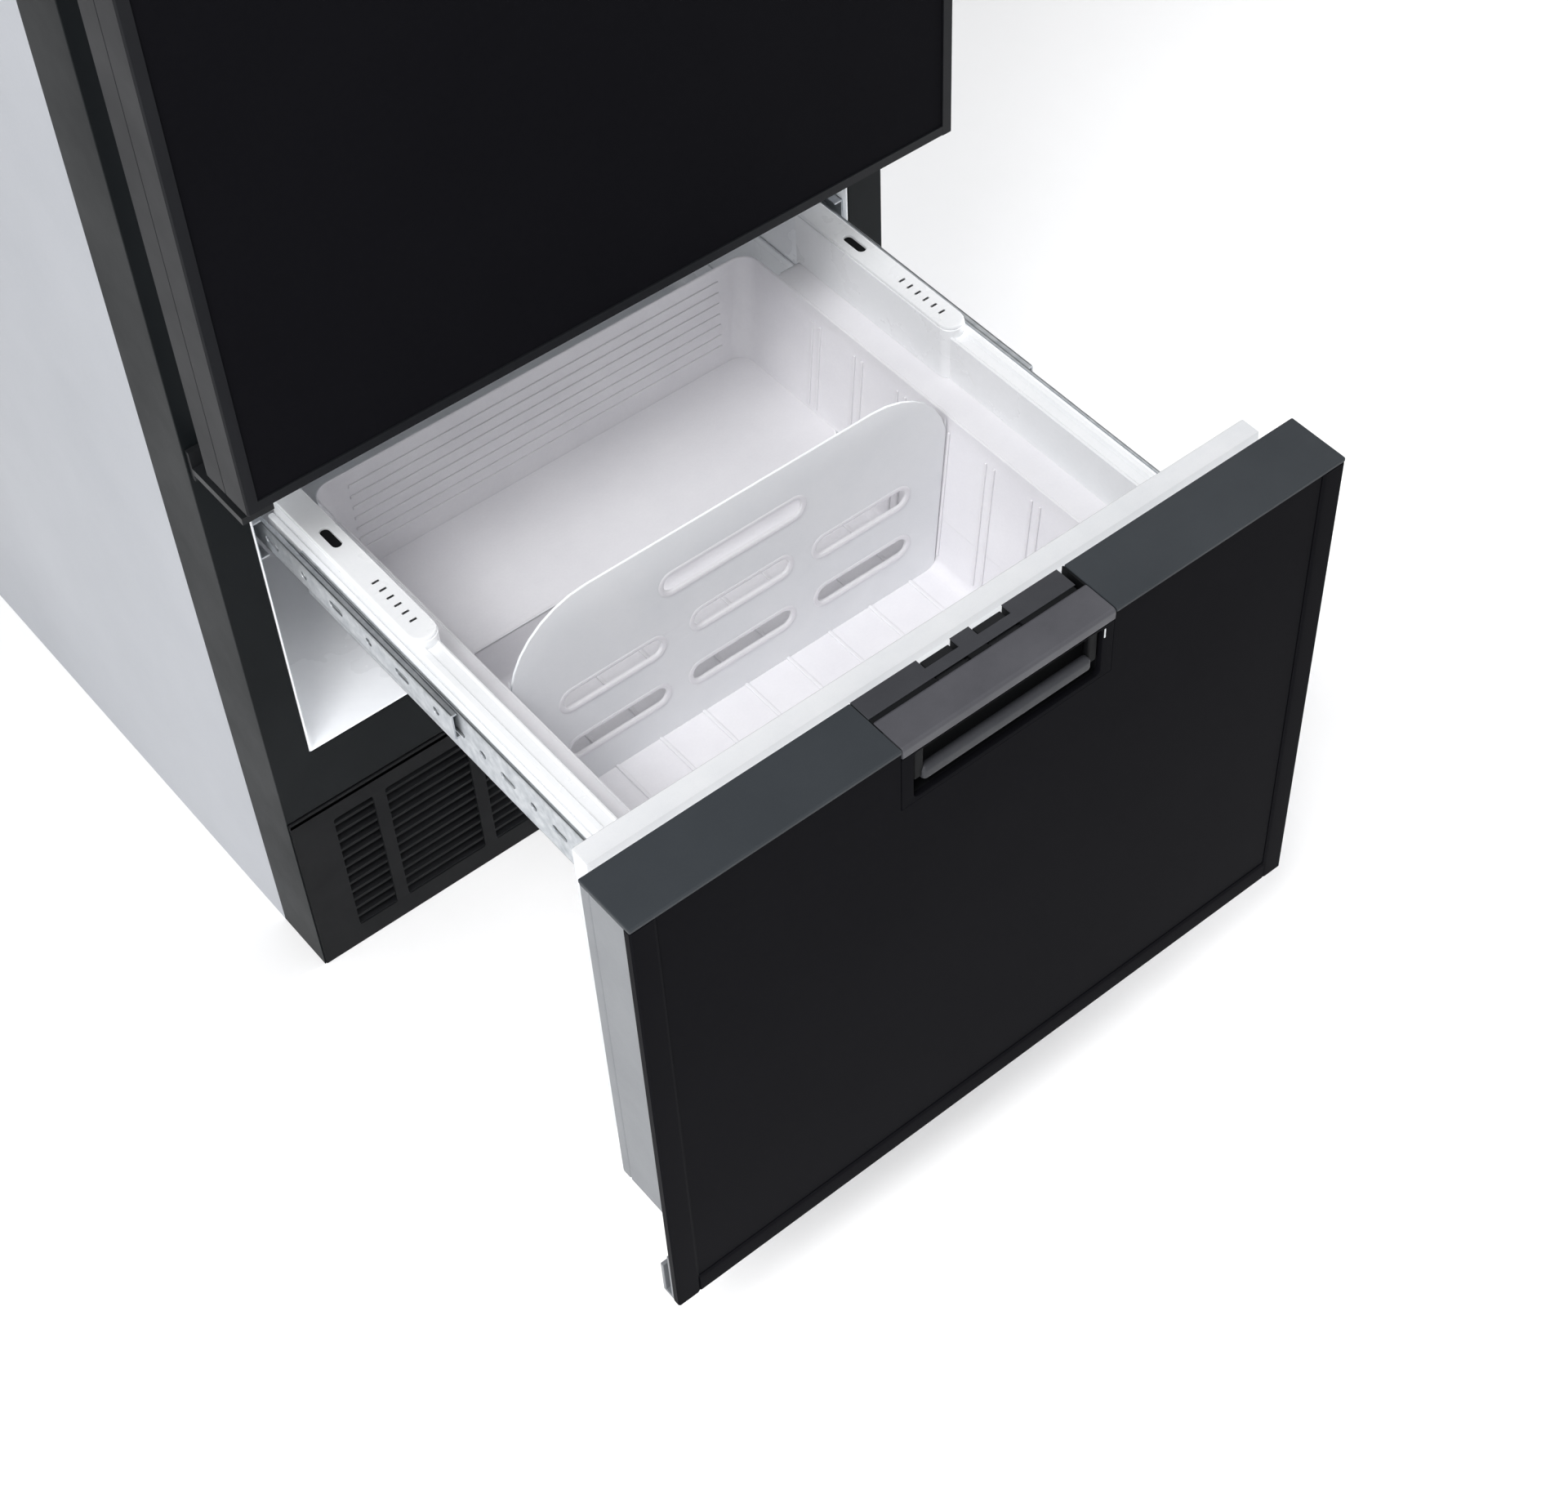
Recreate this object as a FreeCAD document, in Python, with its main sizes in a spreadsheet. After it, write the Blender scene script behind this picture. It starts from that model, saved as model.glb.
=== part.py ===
import FreeCAD, Part
import math
import os
import re
import Sketcher

# A refrigerator with a bottom freezer drawer and an automatic ice maker in the freezer.
# Millimetres. The origin is the middle of the footprint on the floor, +Z up, doors face -Y.
# The freezer drawer stands open by drawer_out, and the refrigerator door is shut.

SIZES = {
    # cabinet
    "half_wide": 300, "front_y": -300, "back_y": 300, "top_z": 1520, "sheet_t": 1,
    "strip_y": -239, "frame_t": 2, "opening_x": 267, "grille_top": 186, "sill_z": 248,
    "mullion_low": 545, "mullion_high": 607, "header_z": 1475, "pan_t": 2,
    "liner_t": 2, "liner_back": 252, "step_y": 30, "step_z": 342,
    "foam_low": 190, "bay_y": 80, "bay_z": 285, "foot_x": 250, "foot_y": 240, "foot_r": 5,
    # base grille
    "grille_t": 10, "louvre_x": 262, "louvre_low": 22, "louvre_pitch": 11, "louvre_gap": 6,
    "louvre_rows": 13, "bar_pitch": 88, "bar_half": 6, "bar_first": 44,
    # door, drawer front and gaskets
    "door_t": 51, "door_gap": 31, "drawer_out": 403, "skin_t": 3, "door_low": 590,
    "door_high": 1514, "panel_low": 106, "body_low": 230, "cap_low": 557, "cap_top": 561,
    "trim_wide": 20, "trim_t": 6, "panel_set": 1.5, "seal_out": 284, "seal_wide": 14,
    "seal_slack": 0.5, "seal_low": 234, "seal_high": 547, "pin_x": -286, "pin_y": -357,
    "pin_r": 4, "pin_play": 0.05,
    # latch cassette
    "latch_x": 90, "latch_low": 500, "latch_deep": 40, "latch_step": 541, "pocket_x": 80,
    "pocket_low": 504, "pocket_high": 551, "pocket_deep": 19, "lever_z": 545, "lever_deep": 6,
    "bar_low": 514, "bar_high": 526, "bar_x": 78, "bar_t": 8, "arm_wide": 6, "hook_deep": 33, "hook_z": 556,
    "claw_in": 10, "claw_out": 34, "claw_slot": 546, "cover_edge": 41, "claw_back": 50,
    "tooth_front": 44, "groove_front": 30, "groove_back": 33, "keep_z": 548.5, "keep_t": 3.5,
    "keep_x": 38, "keep_long": 36, "door_latch_z": 1085,
    # drawer runners
    "arm_in": 244, "arm_out": 249, "arm_low": 444, "arm_high": 486, "arm_back": -290,
    "ledge_in": 206, "ledge_t": 3, "slide_long": 400, "inner_out": 251.5, "middle_in": 252,
    "middle_out": 256.5, "middle_low": 461, "middle_high": 485, "middle_t": 1.5,
    "outer_in": 257, "outer_low": 455, "outer_high": 491, "cover_in": 222, "cover_top": 500,
    "cover_back": -289, "cover_front": -469, "cover_low": 450, "channel_t": 2, "middle_front": -523.5,
    # basket and divider
    "basket_x": 199, "basket_foot": 186, "basket_t": 2, "basket_front": -727, "basket_back": -255,
    "basket_step": -380, "floor_z": 300, "shelf_z": 350, "rim_z": 450, "divider_y": -495,
    "divider_t": 3, "divider_foot": 184, "divider_x": 198, "divider_top": 498, "divider_round": 70,
    "slot_r": 8.5,
    # machinery and ice maker
    "fan_x": -120, "fan_y": -60, "fan_z": 96, "fan_r": 72, "ring_r": 76, "blower_x": -195,
    "blower_y": 165, "blower_z": 440, "blower_r": 38, "blower_ring": 42, "hub_r": 13,
    "shaft_r": 2, "cover_t": 3, "fin_t": 1, "fin_pitch": 10, "tube_r": 4,
    "pump_x": 120, "pump_y": 190, "pump_r": 72, "mould_x": 110, "mould_low": 456,
    "mould_top": 500, "mould_front": 70, "mould_back": 140, "cube_r": 28, "cube_pitch": 26,
    "cube_wall": 3, "ejector_z": 508, "ejector_r": 4, "finger_long": 26, "bail_y": 72,
    "bail_z": 500, "wire_r": 2,
    # refrigerator compartment
    "shelf_t": 5, "shelf_front": -215, "shelf_back": 245, "shelf_x": 263, "ledge_deep": 8,
    "dike_x": 245, "dike_t": 18, "dike_back": -290, "bin_x": 226, "bin_back": -232,
    "bin_t": 3, "bin_tall": 95,
}

SHELVES = ("890", "1180")

doc = FreeCAD.newDocument("Refrigerator")
sheet = doc.addObject("Spreadsheet::Sheet", "Sizes")
for row, (alias, value) in enumerate(SIZES.items(), 1):
    sheet.set(f"A{row}", alias)
    sheet.set(f"B{row}", str(value))
    sheet.setAlias(f"B{row}", alias)
doc.recompute()

# places worked out from the driving dimensions
SKIN_X = "(half_wide - sheet_t)"
DOOR_BACK = "(front_y - door_gap)"
DOOR_FACE = "(front_y - door_gap - door_t)"
DRAWER_BACK = "(front_y - door_gap - drawer_out)"
DRAWER_FACE = "(front_y - door_gap - door_t - drawer_out)"
SIDES = (("left", -1), ("right", 1))
ALIAS = re.compile(r"\b[a-z]+(?:_[a-z]+)+\b")
TURNS = {
    "x": FreeCAD.Rotation(FreeCAD.Vector(0, 1, 0), 90),
    "y": FreeCAD.Rotation(FreeCAD.Vector(1, 0, 0), -90),
    "z": FreeCAD.Rotation(),
}
nodes = []


# ---------------------------------------------------------------- helpers

def bind(item, field, text):
    """Tie one property of an object to the sheet."""
    item.setExpression(field, ALIAS.sub(lambda found: "Sizes." + found.group(), text))


def size(alias):
    return float(sheet.get(alias))


def span(text):
    low, high = text.split(":")
    return low.strip(), high.strip()


def both(text):
    """The range that reaches equally far to either side."""
    return f"-({text}) : {text}"


def mirrored(side, text):
    low, high = span(text)
    return text if side > 0 else f"-({high}) : -({low})"


def block(name, x, y, z):
    """A box from three ranges written low : high."""
    item = doc.addObject("Part::Box", name)
    for field, axis, text in zip(("Length", "Width", "Height"), "xyz", (x, y, z)):
        low, high = span(text)
        bind(item, field, f"({high}) - ({low})")
        bind(item, f"Placement.Base.{axis}", low)
    return item


def tapered(name, foot, mouth, y, z):
    """A box whose two sides lean out, from one half width at its foot to another on top."""
    item = doc.addObject("Part::Wedge", name)
    (front, back), (low, high) = span(y), span(z)
    for field, text in {
        "Xmin": f"-({foot})", "Xmax": foot, "X2min": f"-({mouth})", "X2max": mouth,
        "Ymin": low, "Ymax": high, "Zmin": f"-({back})", "Zmax": f"-({front})",
        "Z2min": f"-({back})", "Z2max": f"-({front})",
    }.items():
        bind(item, field, text)
    item.Placement.Rotation = FreeCAD.Rotation(FreeCAD.Vector(1, 0, 0), 90)
    return item


def rod(name, axis, radius, along, centre):
    """A cylinder along one axis; centre holds its other two coordinates."""
    item = doc.addObject("Part::Cylinder", name)
    item.Placement = FreeCAD.Placement(FreeCAD.Vector(), TURNS[axis])
    low, high = span(along)
    bind(item, "Radius", radius)
    bind(item, "Height", f"({high}) - ({low})")
    bind(item, f"Placement.Base.{axis}", low)
    for other, text in zip([letter for letter in "xyz" if letter != axis], centre):
        bind(item, f"Placement.Base.{other}", text)
    return item


def fuse(name, *pieces):
    item = doc.addObject("Part::MultiFuse", name)
    item.Shapes = list(pieces)
    item.Refine = True
    return item


def group(name, *pieces):
    item = doc.addObject("Part::Compound", name)
    item.Links = list(pieces)
    return item


def cut(name, base, *tools):
    item = doc.addObject("Part::Cut", name)
    item.Base = base
    item.Tool = tools[0] if len(tools) == 1 else group(name + "_tools", *tools)
    return item


def keep(item):
    """Hand an object over as one named piece of the refrigerator."""
    item.Label = item.Name
    nodes.append(item)
    return item


def sketch_on(body, plane, name, offset):
    """A sketch on one of the body's own origin planes, moved along its normal."""
    sketch = body.newObject("Sketcher::SketchObject", name)
    home = [item for item in body.Origin.OriginFeatures if item.Role == plane + "_Plane"]
    sketch.AttachmentSupport = [(home[0], "")]
    sketch.MapMode = "FlatFace"
    bind(sketch, "AttachmentOffset.Base.z", offset)
    return sketch


def outline(sketch, corners):
    """A closed polygon whose corners are tied to the sheet."""
    first = sketch.GeometryCount
    count = len(corners)
    guess = [
        FreeCAD.Vector(
            100 * math.cos(2 * math.pi * step / count),
            100 * math.sin(2 * math.pi * step / count),
            0,
        )
        for step in range(count)
    ]
    for step in range(count):
        sketch.addGeometry(Part.LineSegment(guess[step], guess[(step + 1) % count]), False)
    for step in range(count):
        after = first + (step + 1) % count
        sketch.addConstraint(Sketcher.Constraint("Coincident", first + step, 2, after, 1))
    for step, corner in enumerate(corners):
        for kind, start, text in zip(("DistanceX", "DistanceY"), guess[step], corner):
            rule = Sketcher.Constraint(kind, -1, 1, first + step, 1, start)
            bind(sketch, f"Constraints[{sketch.addConstraint(rule)}]", str(text))


def slab(name, plane, corners, along):
    """A PartDesign body: one outline on an origin plane, padded from low to high."""
    low, high = span(along)
    body = doc.addObject("PartDesign::Body", name)
    offset = f"-({high})" if plane == "XZ" else low
    sketch = sketch_on(body, plane, name + "_outline", offset)
    outline(sketch, corners)
    pad = body.newObject("PartDesign::Pad", name + "_pad")
    pad.Profile = sketch
    bind(pad, "Length", f"({high}) - ({low})")
    return body


def rectangle(x, z):
    (x0, x1), (z0, z1) = span(x), span(z)
    return [(x0, z0), (x1, z0), (x1, z1), (x0, z1)]


# ---------------------------------------------------------------- cabinet

def cabinet_shell():
    for label, side in SIDES:
        wall = mirrored(side, f"{SKIN_X} : half_wide")
        keep(block(f"side_panel_{label}", wall, "strip_y : back_y", "0 : top_z"))
    lid = "top_z - sheet_t : top_z"
    keep(block("top_panel", both(SKIN_X), "strip_y : back_y - sheet_t", lid))
    rear = "back_y - sheet_t : back_y"
    keep(block("back_panel", both(SKIN_X), rear, "bay_z : top_z"))
    pan = block("pan_sheet", both(SKIN_X), "front_y + grille_t : back_y", "0 : pan_t")
    holes = [
        rod("pan_hole", "z", "foot_r", "-1 : pan_t + 1", (f"{x} * foot_x", f"{y} * foot_y"))
        for x in (-1, 1)
        for y in (-1, 1)
    ]
    keep(cut("base_pan", pan, *holes))


def front_frame():
    """The flat front ring with its two openings and the side strips folded back."""
    face = "front_y : front_y + frame_t"
    plate = block("frame_face", both("half_wide"), face, "grille_top : top_z")
    folded = "front_y : strip_y"
    strips = [
        block("frame_strip", mirrored(side, f"{SKIN_X} : half_wide"), folded, "0 : top_z")
        for _, side in SIDES
    ]
    brow = block("frame_brow", both("half_wide"), folded, "top_z - sheet_t : top_z")
    ring = fuse("frame_ring", plate, brow, *strips)
    through = "front_y - 1 : front_y + frame_t + 1"
    low_hole = block("freezer_hole", both("opening_x"), through, "sill_z : mullion_low")
    high_hole = block("fridge_hole", both("opening_x"), through, "mullion_high : header_z")
    keep(cut("front_frame", ring, low_hole, high_hole))


def base_grille():
    """A plate with one row of slots, repeated upwards."""
    plate = rectangle(both(SKIN_X), "0 : grille_top")
    body = slab("base_grille", "XZ", plate, "front_y : front_y + grille_t")
    row = sketch_on(body, "XZ", "grille_row", "-front_y")
    edges = ["-louvre_x"]
    for index in range(-3, 3):
        middle = f"bar_first + {index} * bar_pitch"
        edges += [f"{middle} - bar_half", f"{middle} + bar_half"]
    edges.append("louvre_x")
    for low, high in zip(edges[0::2], edges[1::2]):
        outline(row, rectangle(f"{low} : {high}", "louvre_low : louvre_low + louvre_gap"))
    slots = body.newObject("PartDesign::Pocket", "grille_slots")
    slots.Profile = row
    bind(slots, "Length", "grille_t")
    rows = body.newObject("PartDesign::LinearPattern", "grille_rows")
    rows.Originals = [slots]
    rows.Direction = (row, ["V_Axis"])
    bind(rows, "Length", "louvre_pitch * (louvre_rows - 1)")
    rows.Occurrences = int(size("louvre_rows"))
    body.Tip = rows
    keep(body)


def cavity(name, grow, y_front):
    """The freezer hollow with its raised rear floor, grown by the liner or not."""
    wide = both(f"opening_x - {grow}")
    front = block(
        name + "_front", wide, f"{y_front} : step_y + liner_t - {grow}",
        f"sill_z + {grow} : mullion_low - {grow}",
    )
    rear = block(
        name + "_rear", wide, f"{y_front} : liner_back - {grow}",
        f"step_z - liner_t + {grow} : mullion_low - {grow}",
    )
    return fuse(name, front, rear)


def liners_and_foam():
    liner = cavity("freezer_shell", "0", "front_y")
    hollow = cavity("freezer_hollow", "liner_t", "front_y - 1")
    keep(cut("freezer_liner", liner, hollow))

    tall = "mullion_high : header_z"
    shell = block("fridge_shell", both("opening_x"), "front_y : liner_back", tall)
    room = block(
        "fridge_room", both("opening_x - liner_t"), "front_y - 1 : liner_back - liner_t",
        "mullion_high + liner_t : header_z - liner_t",
    )
    ledges = [
        block(
            "shelf_ledge", mirrored(side, "opening_x - ledge_deep : opening_x - 1"),
            "shelf_front : shelf_back", f"{level} - shelf_t : {level}",
        )
        for _, side in SIDES
        for level in SHELVES
    ]
    keep(fuse("fridge_liner", cut("fridge_box", shell, room), *ledges))

    inside = "front_y + frame_t : back_y - sheet_t"
    slug = block("foam_slug", both(SKIN_X), inside, "foam_low : top_z - sheet_t")
    fridge = block("foam_fridge", both("opening_x"), "front_y : liner_back", tall)
    bay = block("foam_bay", both("half_wide"), "bay_y : back_y", "0 : bay_z")
    keep(cut("cabinet_foam", slug, fridge, bay, cavity("foam_freezer", "0", "front_y")))


def shelves():
    wide = both("shelf_x")
    for label, level in zip(("lower", "upper"), SHELVES):
        deep = "shelf_front : shelf_back"
        keep(block(f"shelf_{label}", wide, deep, f"{level} : {level} + shelf_t"))


# ---------------------------------------------------------------- machinery

def fan_ring(name, x, z, y_front, ring, motor_y):
    """A round duct with a motor held on four arms behind the blades."""
    duct = cut(
        name + "_duct",
        rod(name + "_outer", "y", f"{ring} + 3", f"{y_front} : {motor_y} + 6", (x, z)),
        rod(name + "_inner", "y", ring, f"{y_front} - 1 : {motor_y} + 7", (x, z)),
    )
    arms = f"{motor_y} : {motor_y} + 6"
    bar = f"{ring} + 1"
    across = block(name + "_across", f"{x} - {bar} : {x} + {bar}", arms, f"{z} - 3 : {z} + 3")
    upright = block(name + "_upright", f"{x} - 3 : {x} + 3", arms, f"{z} - {bar} : {z} + {bar}")
    motor = rod(name + "_motor", "y", "hub_r + 4", f"{motor_y} : {motor_y} + 24", (x, z))
    return duct, across, upright, motor


def shaft_bore(name, x, z, motor_y):
    return rod(name, "y", "shaft_r + pin_play", f"{motor_y} - 1 : {motor_y} + 16", (x, z))


def fan_rotor(name, centre, radius, motor_gap):
    """Hub, shaft and five pitched blades, all read from the sheet."""
    tip, hub, depth = size(radius), size("hub_r"), 14
    chord, thick, pitch = 0.55 * tip, 1.6, 34
    along = FreeCAD.Vector(0, 1, 0)
    pieces = [
        Part.makeCylinder(hub, depth, FreeCAD.Vector(), along),
        Part.makeCylinder(size("shaft_r"), motor_gap + 12, FreeCAD.Vector(0, depth - 1, 0), along),
    ]
    half = depth / 2
    for number in range(5):
        blade = Part.makeBox(tip - hub + 3, chord, thick)
        blade.translate(FreeCAD.Vector(hub - 3, -chord / 2, -thick / 2))
        blade.rotate(FreeCAD.Vector(), FreeCAD.Vector(1, 0, 0), pitch)
        blade.rotate(FreeCAD.Vector(), along, 72 * number)
        blade.translate(FreeCAD.Vector(0, half, 0))
        pieces.append(blade)
    disc = Part.makeCylinder(tip, depth + 2, FreeCAD.Vector(0, -1, 0), along)
    shaft = pieces.pop(1)
    item = doc.addObject("Part::Feature", name)
    item.Shape = pieces[0].fuse(pieces[1:]).common(disc).fuse(shaft).removeSplitter()
    for axis, text in zip("xyz", centre):
        bind(item, f"Placement.Base.{axis}", text)
    return keep(item)


def bent_wire(name, radius, route):
    """Straight round runs joined by balls at the corners."""
    points = [FreeCAD.Vector(*point) for point in route]
    pieces = [Part.makeSphere(radius, corner) for corner in points[1:-1]]
    for low, high in zip(points, points[1:]):
        leg = high - low
        pieces.append(Part.makeCylinder(radius, leg.Length, low, leg))
    item = doc.addObject("Part::Feature", name)
    item.Shape = pieces[0].fuse(pieces[1:]).removeSplitter()
    return item


def fin_pack(name, x, y, z, tubes):
    """Thin upright fins threaded on straight tubes."""
    low, high = (float(text) for text in span(x))
    count = int((high - low) / size("fin_pitch"))
    fins = [
        block(
            name + "_fin", f"{low} + {index} * fin_pitch : {low} + {index} * fin_pitch + fin_t",
            y, z,
        )
        for index in range(count)
    ]
    pipes = [rod(name + "_tube", "x", "tube_r", x, place) for place in tubes]
    return keep(fuse(name, *fins, *pipes))


def condenser_side():
    fin_pack(
        "condenser", "-245 : 245", "-270 : -120", "20 : 150",
        [(str(y), str(z)) for y in (-240, -150) for z in (45, 85, 125)],
    )
    motor_y = "fan_y + 24"
    plate = block("shroud_plate", both(SKIN_X), "fan_y : fan_y + 3", "pan_t : foam_low")
    pieces = fan_ring("shroud", "fan_x", "fan_z", "fan_y", "ring_r", motor_y)
    hole = rod("shroud_hole", "y", "ring_r", "fan_y - 1 : fan_y + 4", ("fan_x", "fan_z"))
    pipe_hole = rod("pipe_hole", "y", "tube_r + 2", "fan_y - 1 : fan_y + 4", ("250", "120"))
    body = fuse("shroud_body", cut("shroud_face", plate, hole, pipe_hole), *pieces)
    keep(cut("fan_shroud", body, shaft_bore("shroud_bore", "fan_x", "fan_z", motor_y)))
    fan_rotor("condenser_fan", ("fan_x", "fan_y + 5", "fan_z"), "fan_r", 5)


def evaporator_side():
    fin_pack(
        "evaporator", "-130 : 200", "180 : 235", "352 : 500",
        [(str(y), str(z)) for y in (195, 220) for z in (380, 430, 475)],
    )
    motor_y = "blower_y + 24"
    plate = block(
        "cover_plate", both("opening_x - liner_t - 1"), "blower_y : blower_y + cover_t",
        "step_z : mullion_low - liner_t",
    )
    pieces = fan_ring("cover", "blower_x", "blower_z", "blower_y", "blower_ring", motor_y)
    through = "blower_y - 1 : blower_y + cover_t + 1"
    hole = rod("cover_hole", "y", "blower_ring", through, ("blower_x", "blower_z"))
    slots = [
        block("cover_slot", f"{x} : {x} + 30", through, "step_z + 8 : step_z + 14")
        for x in range(-100, 240, 40)
    ]
    body = fuse("cover_body", cut("cover_face", plate, hole, *slots), *pieces)
    bore = shaft_bore("cover_bore", "blower_x", "blower_z", motor_y)
    keep(cut("evaporator_cover", body, bore))
    fan_rotor("evaporator_fan", ("blower_x", "blower_y + 5", "blower_z"), "blower_r", 5)


def compressor():
    """Welded steel shell turned about its axis, on a foot plate with four posts."""
    body = doc.addObject("PartDesign::Body", "pump_shell")
    sketch = sketch_on(body, "XZ", "pump_profile", "0")
    outline(sketch, [
        ("0", "16"), ("pump_r - 22", "16"), ("pump_r - 4", "34"), ("pump_r - 4", "92"),
        ("pump_r", "92"), ("pump_r", "98"), ("pump_r - 4", "98"), ("pump_r - 4", "150"),
        ("pump_r - 30", "178"), ("0", "184"),
    ])
    turn = body.newObject("PartDesign::Revolution", "pump_turn")
    turn.Profile = sketch
    turn.ReferenceAxis = (sketch, ["V_Axis"])
    turn.Angle = 360
    bind(body, "Placement.Base.x", "pump_x")
    bind(body, "Placement.Base.y", "pump_y")
    foot = block("pump_foot", "pump_x - 95 : pump_x + 95", "pump_y - 55 : pump_y + 55", "13 : 16")
    posts = [
        rod("pump_post", "z", "9", "pan_t : 14", (f"pump_x + {x}", f"pump_y + {y}"))
        for x in (-82, 82)
        for y in (-42, 42)
    ]
    box = block(
        "pump_terminals", "pump_x - 20 : pump_x + 20", "pump_y + 60 : pump_y + 88", "70 : 120"
    )
    keep(fuse("compressor", body, foot, box, *posts))


def machine_room():
    """Electronics, power gland, water valve and the pipes beside the compressor."""
    keep(block("control_box", "-275 : -175", "195 : 285", "pan_t : 105"))
    hexagon = doc.addObject("Part::Prism", "gland_nut")
    hexagon.Polygon = 6
    hexagon.Circumradius = 11
    hexagon.Height = 6
    hexagon.Placement = FreeCAD.Placement(FreeCAD.Vector(-225, 285, 60), TURNS["y"])
    neck = rod("gland_neck", "y", "8", "290 : 299", ("-225", "60"))
    bore = rod("gland_bore", "y", "3.5", "284 : 300", ("-225", "60"))
    keep(cut("power_inlet", fuse("gland_body", hexagon, neck), bore))

    base = block("valve_base", "-80 : -30", "235 : 280", "pan_t : 60")
    coil = rod("valve_coil", "z", "15", "59 : 94", ("-55", "258"))
    thread = rod("valve_thread", "y", "13.2", "279 : 298", ("-55", "36"))
    mouth = rod("valve_mouth", "y", "9", "284 : 299", ("-55", "36"))
    keep(cut("water_valve", fuse("valve_body", base, coil, thread), mouth))

    pipe_x, pump_y, level = 250, size("pump_y"), 120
    hot = bent_wire("hot_line", size("tube_r"), [
        (size("pump_x") + size("pump_r") - 4, pump_y, level), (pipe_x, pump_y, level),
        (pipe_x, -86, level), (pipe_x, -86, level + 60),
    ])
    drier = rod("drier_can", "z", "10", "60 : 200", ("-120", "120"))
    tail = rod("drier_tail", "z", "3", "200 : bay_z", ("-120", "120"))
    foot = rod("drier_foot", "z", "3", "pan_t : 60", ("-120", "120"))
    keep(group("refrigerant_lines", hot, fuse("drier", drier, tail, foot)))


# ---------------------------------------------------------------- ice maker

def ice_maker():
    """A row of half-round ice moulds, swept by fingers on a turning shaft."""
    deep = "mould_front : mould_back"
    tray = block("mould_tray", both("mould_x"), deep, "mould_low : mould_top")
    end = block("mould_end", "-mould_x - 6 : -mould_x", "90 : 120", "mould_low : ejector_z + 8")
    hanger = block("mould_hanger", both("mould_x - 20"), "mould_back : blower_y", "480 : 500")
    middle = "(mould_front + mould_back) / 2"
    centres = [f"({index} - 3.5) * cube_pitch" for index in range(8)]
    half = "(cube_pitch - cube_wall) / 2"
    cubes = [
        rod("cube", "x", "cube_r", f"{x} - {half} : {x} + {half}", (middle, "mould_top"))
        for x in centres
    ]
    journal = "ejector_r + pin_play"
    bore = rod("end_bore", "x", journal, "-mould_x - 7 : -mould_x + 1", (middle, "ejector_z"))
    keep(cut("ice_mould", fuse("mould_body", tray, end, hanger), bore, *cubes))

    case = block("gear_box", "mould_x : mould_x + 40", "65 : 145", "mould_low : 540")
    deep_bore = rod("gear_bore", "x", journal, "mould_x - 1 : mould_x + 22", (middle, "ejector_z"))
    pivot = rod("bail_bore", "x", "wire_r + pin_play", "mould_x + 25 : mould_x + 41",
                ("bail_y", "bail_z"))
    keep(cut("ice_gearcase", case, deep_bore, pivot))

    shaft = rod("ejector_shaft", "x", "ejector_r", "-mould_x - 6 : mould_x + 20",
                (middle, "ejector_z"))
    fingers = [
        block("ejector_finger", f"{x} - 2 : {x} + 2", f"{middle} - 1.5 : {middle} + 1.5",
              "ejector_z : ejector_z + finger_long")
        for x in centres
    ]
    keep(fuse("ice_ejector", shaft, *fingers))
    bail_arm()


def bail_arm():
    """Pivot stub, side leg and the long feeler above the ice."""
    start, outer = size("mould_x") + 30, size("mould_x") + 45
    pivot_y, pivot_z = size("bail_y"), size("bail_z")
    keep(bent_wire("ice_bail_arm", size("wire_r"), [
        (start, pivot_y, pivot_z), (outer, pivot_y, pivot_z),
        (outer, pivot_y - 27, pivot_z - 40), (-size("mould_x"), pivot_y - 27, pivot_z - 40),
    ]))


# ---------------------------------------------------------------- hinges and keepers

def hinges():
    """Two steel brackets with the pins on which the refrigerator door swings."""
    flat = "front_y - 4 : front_y"
    reach = "pin_y - 8 : front_y - 4"
    wide = "pin_x - 12 : pin_x + 12"
    pin_at = ("pin_x", "pin_y")
    low = [
        block("low_plate", "pin_x - 12 : pin_x + 46", flat, "562 : 588"),
        block("low_arm", wide, reach, "568 : 574"),
        rod("low_pin", "z", "pin_r", "573 : door_low + 14", pin_at),
    ]
    keep(fuse("hinge_middle", *low))
    high = [
        block("high_plate", "pin_x - 12 : pin_x + 46", flat, "1494 : top_z"),
        block("high_arm", wide, reach, "door_high + 2 : top_z"),
        rod("high_pin", "z", "pin_r", "door_high - 16 : door_high + 3", pin_at),
    ]
    keep(fuse("hinge_top", *high))
    heads = [
        rod("screw_head", "y", "4.5", "front_y - 6.5 : front_y - 4", (x, z))
        for x in ("pin_x + 22", "pin_x + 38")
        for z in ("581", "1503")
    ]
    keep(group("hinge_screws", *heads))


def latch_keepers():
    """A plate with two tongues under the mullion, and another on the right stile."""
    face, tongue = "front_y - 3 : front_y", "front_y - keep_long : front_y - 2"
    low, high = "keep_z", "keep_z + keep_t"
    x, z = "half_wide - cap_top", "door_latch_z"
    drawer = [block("keeper_plate", both("keep_x"), face, f"{low} : {low} + 11")]
    door = [block("stile_plate", f"{x} + {low} : {x} + {low} + 11", face,
                  f"{z} - keep_x : {z} + keep_x")]
    for _, side in SIDES:
        wide = mirrored(side, "claw_in + 1 : claw_out - 1")
        start, end = wide.split(" : ")
        drawer.append(block("keeper_tongue", wide, tongue, f"{low} : {high}"))
        door.append(block("stile_tongue", f"{x} + {low} : {x} + {high}", tongue,
                          f"{z} + {start} : {z} + {end}"))
    keep(group("latch_keepers", fuse("drawer_keeper", *drawer), fuse("door_keeper", *door)))


# ---------------------------------------------------------------- latch cassettes

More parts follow.
